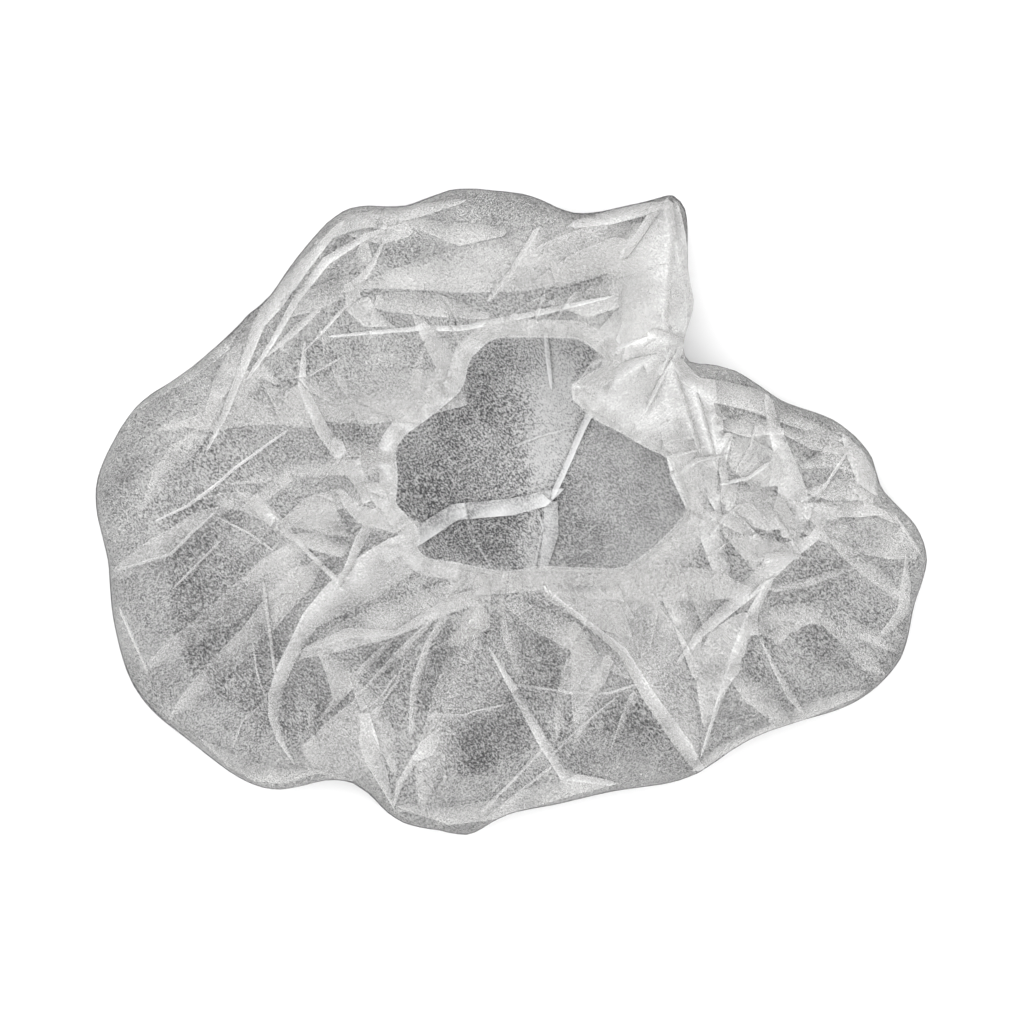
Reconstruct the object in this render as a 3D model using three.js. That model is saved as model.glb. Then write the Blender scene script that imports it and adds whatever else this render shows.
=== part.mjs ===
// A gathered non-woven cap, lying on its crown with the elasticated opening upwards.
// Millimetres, +Z up. The origin is on the resting plane, under the middle of the outline's box.
import * as THREE from "three";

// Driving dimensions.
const WALL = 1.4; // fabric wall
const RAY_SPACING = 8.4; // between the fabric's profiles, along the outline
const RIM_HEIGHT = 12; // the widest line above the resting plane
const UNDERCUT = 22; // how far the crown rolls in under that line before it lies flat
const CREST = 0.42; // where the puff is highest, as a share of the way from hem to rim
const PUFF_POWER = 2.4; // how squarely the puff drops to the rim
const PLEAT_RAYS = 4; // profiles in one pleat
const RUFFLE_DEPTH = 1.2; // of the pleats along the hem
const PLEAT_DEPTH = 2.6; // of the same pleats where they are deepest, just past the grip
const PLEAT_REACH = 0.75; // share of the way to the rim that they take to die out
const GRIP = 6; // straight stretch of fabric that runs into the hem
const FOLD_FADE = 8; // how far past the grip the folds come to their full height

// The outline from above: the corners that a smooth closed curve passes through.
const OUTLINE = [
  { x: 160, y: -19 },
  { x: 155, y: -4 },
  { x: 142, y: 9 },
  { x: 138, y: 22 },
  { x: 125, y: 35.5 },
  { x: 104, y: 43.5 },
  { x: 87, y: 55.5 },
  { x: 70, y: 58.5 },
  { x: 66.5, y: 66 },
  { x: 70.5, y: 82 },
  { x: 67.5, y: 95 },
  { x: 66, y: 117 },
  { x: 61, y: 121.5 },
  { x: 49, y: 118 },
  { x: 24.5, y: 114 },
  { x: 5, y: 122.5 },
  { x: -23, y: 124.5 },
  { x: -40, y: 117.5 },
  { x: -64, y: 117 },
  { x: -83, y: 98 },
  { x: -97, y: 78 },
  { x: -124, y: 56 },
  { x: -146, y: 41 },
  { x: -159, y: 16 },
  { x: -160, y: 0 },
  { x: -155.5, y: -19 },
  { x: -154, y: -38 },
  { x: -145, y: -67 },
  { x: -124, y: -88 },
  { x: -104, y: -104 },
  { x: -91, y: -108 },
  { x: -62, y: -103.5 },
  { x: -42, y: -120 },
  { x: -17, y: -124.5 },
  { x: -7, y: -119 },
  { x: 34, y: -109.5 },
  { x: 73, y: -102 },
  { x: 92, y: -89 },
  { x: 134, y: -73.5 },
  { x: 149, y: -57 },
  { x: 155, y: -38 },
];

// Round the cap by bearing from +X: the opening's radius, and how high the hem and the puff stand.
const SECTORS = [
  { bearing: 0, opening: 70, hem: 32, puff: 36 },
  { bearing: 18, opening: 67, hem: 34, puff: 38 },
  { bearing: 30, opening: 58, hem: 37, puff: 42 },
  { bearing: 44, opening: 52, hem: 41, puff: 47 },
  { bearing: 58, opening: 54, hem: 42, puff: 50 },
  { bearing: 66, opening: 63, hem: 40, puff: 47 },
  { bearing: 75, opening: 71, hem: 38, puff: 41 },
  { bearing: 92, opening: 71, hem: 35, puff: 38 },
  { bearing: 103, opening: 64, hem: 34, puff: 38 },
  { bearing: 115, opening: 54, hem: 33, puff: 42 },
  { bearing: 130, opening: 52, hem: 32, puff: 44 },
  { bearing: 150, opening: 54, hem: 31, puff: 44 },
  { bearing: 168, opening: 49, hem: 31, puff: 44 },
  { bearing: 186, opening: 45, hem: 30, puff: 42 },
  { bearing: 205, opening: 40, hem: 30, puff: 42 },
  { bearing: 225, opening: 32, hem: 31, puff: 40 },
  { bearing: 250, opening: 27, hem: 32, puff: 38 },
  { bearing: 275, opening: 26, hem: 32, puff: 38 },
  { bearing: 298, opening: 29, hem: 32, puff: 38 },
  { bearing: 318, opening: 38, hem: 31, puff: 38 },
  { bearing: 336, opening: 53, hem: 31, puff: 36 },
  { bearing: 350, opening: 65, hem: 31, puff: 36 },
];

// The main folds that stand out of the gathered side, each a ridge along start, bend and end.
const FOLDS = [
  { start: [64, 116], bend: [64, 88], end: [61, 61], lift: 10, half: 11 }, // standing corner
  { start: [61, 61], bend: [68, 22], end: [82, -33], lift: 7, half: 9 }, // from the knot, down
  { start: [61, 61], bend: [82, 34], end: [92, -5], lift: 6, half: 9 }, // from the knot, right
  { start: [61, 61], bend: [45, 54], end: [28, 44], lift: 6, half: 10 }, // from the knot, left
  { start: [-78, -57], bend: [-46, -42], end: [12, -26], lift: 6, half: 9 },
  { start: [-43, -13], bend: [-76, -37], end: [-90, -72], lift: 6, half: 9 },
  { start: [-109, 31], bend: [-93, 78], end: [-54, 106], lift: 5, half: 9 },
  { start: [-36, 68], bend: [0, 73], end: [37, 81], lift: 4, half: 8 },
  { start: [-81, 63], bend: [-71, 31], end: [-36, -7], lift: 4, half: 8 },
  { start: [-109, 2], bend: [-91, -4], end: [-64, -27], lift: 4, half: 8 },
  { start: [-150, -22], bend: [-112, -8], end: [-62, 27], lift: 4, half: 9 },
  { start: [-61, -74], bend: [-56, -87], end: [-44, -112], lift: 5, half: 8 },
  { start: [-6, -50], bend: [12, -92], end: [44, -105], lift: 5, half: 8 },
  { start: [22, -37], bend: [50, -65], end: [72, -96], lift: 6, half: 9 },
  { start: [118, -1], bend: [87, -35], end: [66, -55], lift: 6, half: 9 },
  { start: [98, 41], bend: [101, 20], end: [110, 0], lift: 5, half: 9 },
  { start: [91, -44], bend: [80, -70], end: [73, -92], lift: 4, half: 8 },
];

// The cut edge folded over the elastic: a channel round it, open towards the fabric that it grips.
// Each row is a corner of its section, inwards from the fabric's edge and above the fabric's middle.
const CHANNEL = [
  { inwards: -3, up: 2.4 },
  { inwards: 3.6, up: 2.4 },
  { inwards: 3.6, up: -2.4 },
  { inwards: -3, up: -2.4 },
  { inwards: -3, up: -1.3 },
  { inwards: 2.5, up: -1.3 },
  { inwards: 2.5, up: 1.3 },
  { inwards: -3, up: 1.3 },
];
const ELASTIC = [
  { inwards: 0.4, up: 0.85 },
  { inwards: 2.1, up: 0.85 },
  { inwards: 2.1, up: -0.85 },
  { inwards: 0.4, up: -0.85 },
];

// Shares of the way from the hem's grip to the rim, closer together where the puff turns down.
const TOP_SHARES = [1, 0.98, 0.94, 0.88, 0.79, 0.68, 0.56, 0.44, 0.32, 0.2, 0.1, 0];
const ROLL_ANGLES = [0, 30, 60]; // degrees of the roll from the flat crown up to the rim
const CROWN_SHARES = [0, 0.5]; // of the flat crown's radius

const FABRIC_LOOK = new THREE.MeshStandardMaterial({
  color: 0xd6d6d4,
  roughness: 0.8,
  metalness: 0,
});
const HEM_LOOK = new THREE.MeshStandardMaterial({
  color: 0xe4e4e3,
  roughness: 0.75,
  metalness: 0,
});
const ELASTIC_LOOK = new THREE.MeshStandardMaterial({
  color: 0xf1f1ee,
  roughness: 0.6,
  metalness: 0,
});

// One column of a table that runs by bearing, as a smooth value all the way round.
function roundTheCap(rows, column) {
  const wrapped = (n) => rows[THREE.MathUtils.euclideanModulo(n, rows.length)];
  const bearingOf = (n) => wrapped(n).bearing + 360 * Math.floor(n / rows.length);
  const valueOf = (n) => wrapped(n)[column];
  const slopeOf = (n) =>
    (valueOf(n + 1) - valueOf(n - 1)) / (bearingOf(n + 1) - bearingOf(n - 1));
  return (bearing) => {
    const at = THREE.MathUtils.euclideanModulo(bearing, 360);
    const n = rows.findLastIndex((row) => row.bearing <= at);
    const span = bearingOf(n + 1) - bearingOf(n);
    const t = (at - bearingOf(n)) / span;
    const s = 1 - t;
    return (
      valueOf(n) * s * s * (1 + 2 * t) +
      valueOf(n + 1) * t * t * (1 + 2 * s) +
      span * t * s * (slopeOf(n) * s - slopeOf(n + 1) * t)
    );
  };
}

const openingAt = roundTheCap(SECTORS, "opening");
const hemAt = roundTheCap(SECTORS, "hem");
const puffAt = roundTheCap(SECTORS, "puff");

// How much the folds raise the fabric at a point: each is a tent that runs out at both ends.
function foldLift(x, y) {
  const point = new THREE.Vector3(x, y, 0);
  let lift = 0;
  for (const fold of FOLDS) {
    const [start, bend, end] = [fold.start, fold.bend, fold.end].map(
      ([px, py]) => new THREE.Vector3(px, py, 0),
    );
    const nearest = [new THREE.Line3(start, bend), new THREE.Line3(bend, end)].map((line) =>
      line.closestPointToPoint(point, true, new THREE.Vector3()).distanceTo(point),
    );
    lift = Math.max(lift, fold.lift * (1 - Math.min(...nearest) / fold.half));
  }
  return lift;
}

// The rays: which way each profile leaves the middle, how far it runs, and its place in a pleat.
function makeRays() {
  const corners = OUTLINE.map((corner) => new THREE.Vector3(corner.x, corner.y, 0));
  const outline = new THREE.CatmullRomCurve3(corners, true, "centripetal");
  const rims = corners.flatMap((corner, n) => {
    const next = corners[(n + 1) % corners.length];
    const parts = Math.max(1, Math.round(corner.distanceTo(next) / RAY_SPACING));
    return Array.from({ length: parts }, (_, part) =>
      outline.getPoint((n + part / parts) / corners.length),
    );
  });
  const pleats = Math.round(rims.length / PLEAT_RAYS);
  return rims.map((rim, i) => {
    const bearing = THREE.MathUtils.radToDeg(Math.atan2(rim.y, rim.x));
    return {
      direction: rim.clone().normalize(),
      reach: rim.length(),
      opening: openingAt(bearing),
      hem: hemAt(bearing),
      puff: puffAt(bearing),
      wave: Math.cos((2 * Math.PI * pleats * i) / rims.length),
    };
  });
}

// The fabric's height at a radius between the hem and the rim.
function topHeight(ray, radius) {
  const share = (radius - ray.opening) / (ray.reach - ray.opening);
  const rise = Math.sin((Math.PI / 2) * Math.min(share / CREST, 1));
  const drop = Math.max(share - CREST, 0) / (1 - CREST);
  const puffed =
    share < CREST
      ? THREE.MathUtils.lerp(ray.hem, ray.puff, rise)
      : THREE.MathUtils.lerp(RIM_HEIGHT, ray.puff, Math.sqrt(1 - drop ** PUFF_POWER));
  const fromGrip = THREE.MathUtils.clamp((radius - ray.opening - GRIP) / FOLD_FADE, 0, 1);
  const lift = foldLift(ray.direction.x * radius, ray.direction.y * radius) * fromGrip;
  const pleat = ray.wave * THREE.MathUtils.lerp(RUFFLE_DEPTH, PLEAT_DEPTH, fromGrip);
  return puffed + lift * (1 - share ** 4) + pleat * Math.max(1 - share / PLEAT_REACH, 0);
}

// The outside of the fabric along one ray, as (radius, height): from the middle of the crown,
// round the rim, and over the puff to the hem.
function outsideProfile(ray) {
  const flat = CROWN_SHARES.map((share) => new THREE.Vector2((ray.reach - UNDERCUT) * share, 0));
  const roll = ROLL_ANGLES.map((degrees) => {
    const angle = THREE.MathUtils.degToRad(degrees);
    return new THREE.Vector2(
      ray.reach - UNDERCUT * (1 - Math.sin(angle)),
      RIM_HEIGHT * (1 - Math.cos(angle)),
    );
  });
  const radii = TOP_SHARES.map((share) =>
    THREE.MathUtils.lerp(ray.opening + GRIP, ray.reach, share),
  );
  const top = [...radii, ray.opening].map(
    (radius) => new THREE.Vector2(radius, topHeight(ray, radius)),
  );
  return [...flat, ...roll, ...top];
}

// The unit direction of a profile at one of its points.
function alongAt(profile, n) {
  const before = profile[Math.max(n - 1, 0)];
  const after = profile[Math.min(n + 1, profile.length - 1)];
  return after.clone().sub(before).normalize();
}

// The whole section of the fabric along one ray: the outside, then one wall further in and back.
function wallSection(outside) {
  const inside = outside.map((point, n) => {
    const along = alongAt(outside, n);
    return new THREE.Vector2(point.x - WALL * along.y, point.y + WALL * along.x);
  });
  inside[0].set(0, WALL);
  return [...outside, ...inside.reverse()];
}

// A body of revolution's grid, with each of its points moved to where its ray and step put it.
function shapedLathe(steps, rays, placeOf) {
  const blank = Array.from({ length: steps }, (_, j) => new THREE.Vector2(1, j));
  const geometry = new THREE.LatheGeometry(blank, rays.length);
  for (let i = 0; i <= rays.length; i++) {
    const ray = rays[i % rays.length];
    for (let j = 0; j < steps; j++) {
      const place = placeOf(ray, j);
      const across = ray.direction.clone().multiplyScalar(place.x);
      geometry.attributes.position.setXYZ(i * steps + j, across.x, across.y, place.y);
    }
  }
  return geometry;
}

// A ring round the hem with the given section, which tilts with the edge of the fabric.
function hemRing(section, rays) {
  return shapedLathe(section.length + 1, rays, (ray, j) => {
    const { inwards, up } = section[j % section.length];
    const edge = ray.outside[ray.outside.length - 1];
    const along = alongAt(ray.outside, ray.outside.length - 1);
    const upwards = new THREE.Vector2(along.y, -along.x);
    return edge
      .clone()
      .addScaledVector(upwards, up - WALL / 2)
      .addScaledVector(along, inwards);
  });
}

function named(name, geometry, look) {
  const mesh = new THREE.Mesh(geometry, look);
  mesh.name = name;
  return mesh;
}

function makeCap() {
  const rays = makeRays();
  for (const ray of rays) {
    ray.outside = outsideProfile(ray);
    ray.wall = wallSection(ray.outside);
  }
  const cap = new THREE.Group();
  cap.add(
    named(
      "cap_fabric",
      shapedLathe(rays[0].wall.length, rays, (ray, j) => ray.wall[j]),
      FABRIC_LOOK,
    ),
    named("hem_channel", hemRing(CHANNEL, rays), HEM_LOOK),
    named("elastic_band", hemRing(ELASTIC, rays), ELASTIC_LOOK),
  );
  const middle = new THREE.Box3().setFromObject(cap).getCenter(new THREE.Vector3());
  cap.position.set(-middle.x, -middle.y, 0);
  return cap;
}

export default makeCap();
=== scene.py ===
"""A gathered cap of sheer non-woven cloth, lying on its crown with the opening upwards.

The cloth is one sheet. It is laid out flat, seen from above, and pleated there: every fold in the
tables below is cut along its edges and turned over on itself, so that three plies lie in its width.
Then the sheet is lifted onto the puffed form that the frame gives, and closed underneath by its
crown. The hem and its elastic follow the edge of the opening.
"""

import math
import random

import bmesh
import bpy
import numpy as np
from bpy.props import FloatProperty, FloatVectorProperty, IntProperty, PointerProperty
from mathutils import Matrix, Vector, noise
from mathutils.bvhtree import BVHTree


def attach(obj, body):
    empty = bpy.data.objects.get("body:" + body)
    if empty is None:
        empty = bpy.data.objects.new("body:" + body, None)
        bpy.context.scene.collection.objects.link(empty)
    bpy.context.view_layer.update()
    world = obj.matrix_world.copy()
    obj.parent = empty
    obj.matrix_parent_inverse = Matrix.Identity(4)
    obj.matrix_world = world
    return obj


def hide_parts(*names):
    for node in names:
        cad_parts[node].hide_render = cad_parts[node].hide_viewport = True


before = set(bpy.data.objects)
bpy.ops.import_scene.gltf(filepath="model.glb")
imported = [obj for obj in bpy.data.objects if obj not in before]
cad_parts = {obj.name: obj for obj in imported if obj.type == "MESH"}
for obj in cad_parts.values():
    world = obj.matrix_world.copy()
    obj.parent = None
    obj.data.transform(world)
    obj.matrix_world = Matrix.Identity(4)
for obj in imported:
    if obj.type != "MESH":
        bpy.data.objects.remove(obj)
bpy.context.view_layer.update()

bl_info = {
    "name": "Gathered Sheer Cap",
    "version": (1, 0, 0),
    "blender": (4, 5, 0),
    "location": "3D View > Sidebar > Cap",
    "description": "Pleats a sheer gathered cap over the form of its solid model",
    "category": "Add Mesh",
}

MM = 0.001
DOWN = Vector((0, 0, -1))
PATCH_MARGIN = 9 * MM  # of cloth round a fold that is lifted out to be pleated
CELL_REACH = 8 * MM  # no cell of the net reaches further than this from its first corner
SNAP = 0.01 * MM  # corners this near to a cut count as on it
WIDE_FOLD = 3 * MM  # from this width on, a fold shows its pressed edges
LINED_PRESS = 0.18  # a fold has to be pressed harder than this to show them
LINE_PRESS = 0.35  # how hard a pressed edge is pressed at least
NARROW_END = 4  # mm: an open end of a fold is closed with a tip when it is no wider than this
TIP_LENGTH = 2.5  # mm, of that tip
TAPER_WIDTH = 2 * MM  # below this width the plies of a fold lie closer and closer together
RIM_STATION = 0.998  # from here on the cloth of the side is held by the outline
FREE_SPAN = 0.03  # of the stations before that, over which it comes free
ROLL_SHARES = (0.045, 0.075, 0.2, 0.36, 0.52, 0.68, 0.84, 1.0)  # rows of the net round the roll
CROWN_ROWS = 24  # rows of the net from the roll to the middle of the crown
SIDE_LEVEL, CROWN_LEVEL = 0, 1  # which sheet a face belongs to while they both lie flat
RIM_BEVEL = 0.5 * MM  # that the cloth cuts off the outline's corner
CROWN_HEIGHT = 0.3 * MM  # of the crown's cloth, above what it lies on
LOWEST = 0.2 * MM  # that the crown may dip to
ROLL_SHADE = 0.075  # share of the roll that the outline's painted shade reaches
ROLL_SHADE_EDGE = 0.02  # share over which it fades out
SHADE_HEIGHT = 1.6 * MM  # up the side, the same painted shade weakens over about this height, to half
SHADE_WIDTH = 1.1  # mm, seen from above, over which it ends
SIDE_SPAN = 90  # mm, the usual length of the side from the opening to the outline
CROWN_THINNING = 0.14  # fullness that the thinning takes from the crown
SIDE_THINNING = 0.08  # and from the side
GRAIN_PATCH = 26 * MM  # size of the areas whose fibres run one way
CONTRAST_PATCH = 30 * MM  # of those whose fibres show more or less
COVER_PATCH = 11 * MM  # of those that cover more or less
HEM_PATCH = 5 * MM  # of those where the hem is pressed more or less
HEM_POINTS, ELASTIC_POINTS = 600, 300  # corners of the two rings, along the opening's edge
HEM_OVERHANG = 0.5 * MM  # that the hem reaches into the opening
HEM_LIFT = 1.1 * MM  # of the hem's middle above the cloth
BOND_RATE = 1.9  # radians of the bonding pattern to one cell of the fibre mottling
STRAND_SHARPNESS = 22.0  # how thin the single strands are drawn
ELASTIC_THREAD = 0.7 * MM  # size of the mottling of the elastic
THIN_COLOUR = (0.1, 0.1, 0.1)  # that shows where the web is thin

# The edge of the opening, corner by corner: x and y, and the bearing at which the cloth that
# starts there reaches the outline. Millimetres and degrees.
EDGE = [
    (67, 0, 0), (63, 15, 12), (60, 21, 18), (50, 25.5, 25), (43, 30, 31), (36, 33.5, 36),
    (30, 36, 39), (26, 40, 42), (22, 45, 44), (22, 48, 46), (38, 57, 52), (32, 62, 58),
    (25, 66.5, 66), (10, 67, 80), (-5, 67, 92), (-10, 65, 98), (-17, 58, 106), (-18, 51, 112),
    (-20, 46, 117), (-28, 39.5, 127), (-35, 34, 137), (-41, 30, 145), (-45, 24, 153),
    (-44, 12, 165), (-45, 3, 177), (-42, 0, 182), (-36, -6.5, 193), (-37, -14, 203),
    (-33, -18, 212), (-22, -19.5, 226), (-10, -22, 246), (0, -23, 268), (10, -21, 288),
    (25, -21.5, 308), (40, -22, 325), (46, -20, 333), (55, -13, 344), (62, -6, 353),
]

# What the cloth's own outline adds to the solid's: bearing in degrees, and millimetres outwards.
TRIM = [
    (0, -0.5), (9, 0), (18, -1), (27, -1.2), (33, -1.5), (36, 0), (42, -3), (48, 0), (51, -1.5),
    (56, 0), (63, 1.3), (66, 1), (70, 1.5), (76, 1), (84, 0.3), (93, -0.8), (108, 0.5), (120, -0.4),
    (138, 0), (143, 1.8), (149, 0.5), (160, -1.5), (170, -1.2), (176, 0), (184, -0.5), (200, 0),
    (210, 0.7), (219, -0.8), (226, -1.5), (234, -2), (240, 0), (248, 0), (257, -2), (264, 0),
    (270, -1.6), (278, -0.8), (290, -1.6), (300, -1.5), (308, -2.8), (316, -2.2), (325, -3),
    (332, -1.8), (340, 0), (348, -1.6), (354, -0.3),
]

# How tightly the hem is pressed: bearings round the opening in degrees, and the share there.
HEM_PRESS = (
    (0, 30, 45, 80, 100, 120, 150, 180, 210, 240, 270, 300, 340),
    (0.05, 0.3, 0.2, 0.12, 0.2, 0.35, 0.35, 0.25, 0.25, 0.15, 0.1, 0.08, 0.05),
)

# Where the web is denser or thinner than elsewhere, as soft-edged ellipses: the middle x and y,
# half the length and half the width in mm, the turn of the length in degrees, and the fullness added.
WEB_PATCHES = [
    (-108, -52, 55, 36, -45, -0.25), (-50, -55, 14, 8, 60, -0.32), (-8, -88, 26, 14, 60, -0.3),
    (45, -82, 16, 10, -60, -0.3), (22, -93, 12, 9, -20, -0.36), (14, -55, 18, 6, -75, -0.2),
    (-10, -8, 16, 14, 0, -0.28), (-25, 10, 26, 20, 60, -0.12), (-125, -10, 35, 12, 25, -0.2),
    (125, -52, 18, 10, -30, -0.2), (-70, -75, 14, 8, 50, -0.16), (-28, -60, 20, 8, 70, -0.2),
    (25, -8, 14, 8, 0, -0.12), (17, 35, 34, 13, 80, 0.4), (40, 70, 28, 11, 0, 0.4),
    (12, 105, 55, 12, -3, 0.24), (-20, 93, 45, 8, 5, 0.16), (-55, 90, 18, 10, 0, 0.16),
    (-120, 42, 34, 9, 38, 0.24), (-90, 62, 16, 6, 55, 0.24), (-55, 55, 20, 7, 0, 0.2),
    (80, 52, 20, 7, -20, 0.32), (98, 20, 28, 11, -25, 0.32), (76, 14, 11, 8, 0, 0.28),
    (140, -3, 15, 7, -35, 0.32), (60, -8, 26, 16, 0, 0.16), (120, -12, 18, 7, 0, 0.12),
    (50, 95, 18, 12, 0, 0.16), (60, -45, 26, 7, -75, 0.12), (-58, -2, 9, 7, 0, 0.16),
    (-85, 15, 25, 6, 10, 0.12), (-32, -107, 10, 6, 0, 0.2),
]

# How far the web is thinned round the cap, on the side and on the crown beneath it: bearings in
# degrees, and the share there. A share below 0 makes it denser.
WEB_THINNING = (
    (0, 45, 90, 135, 170, 200, 235, 270, 315, 345),
    (0, -0.1, -0.3, -0.1, 0.2, 0.9, 0.8, 0.9, 0.8, 0.4),
)

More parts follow.
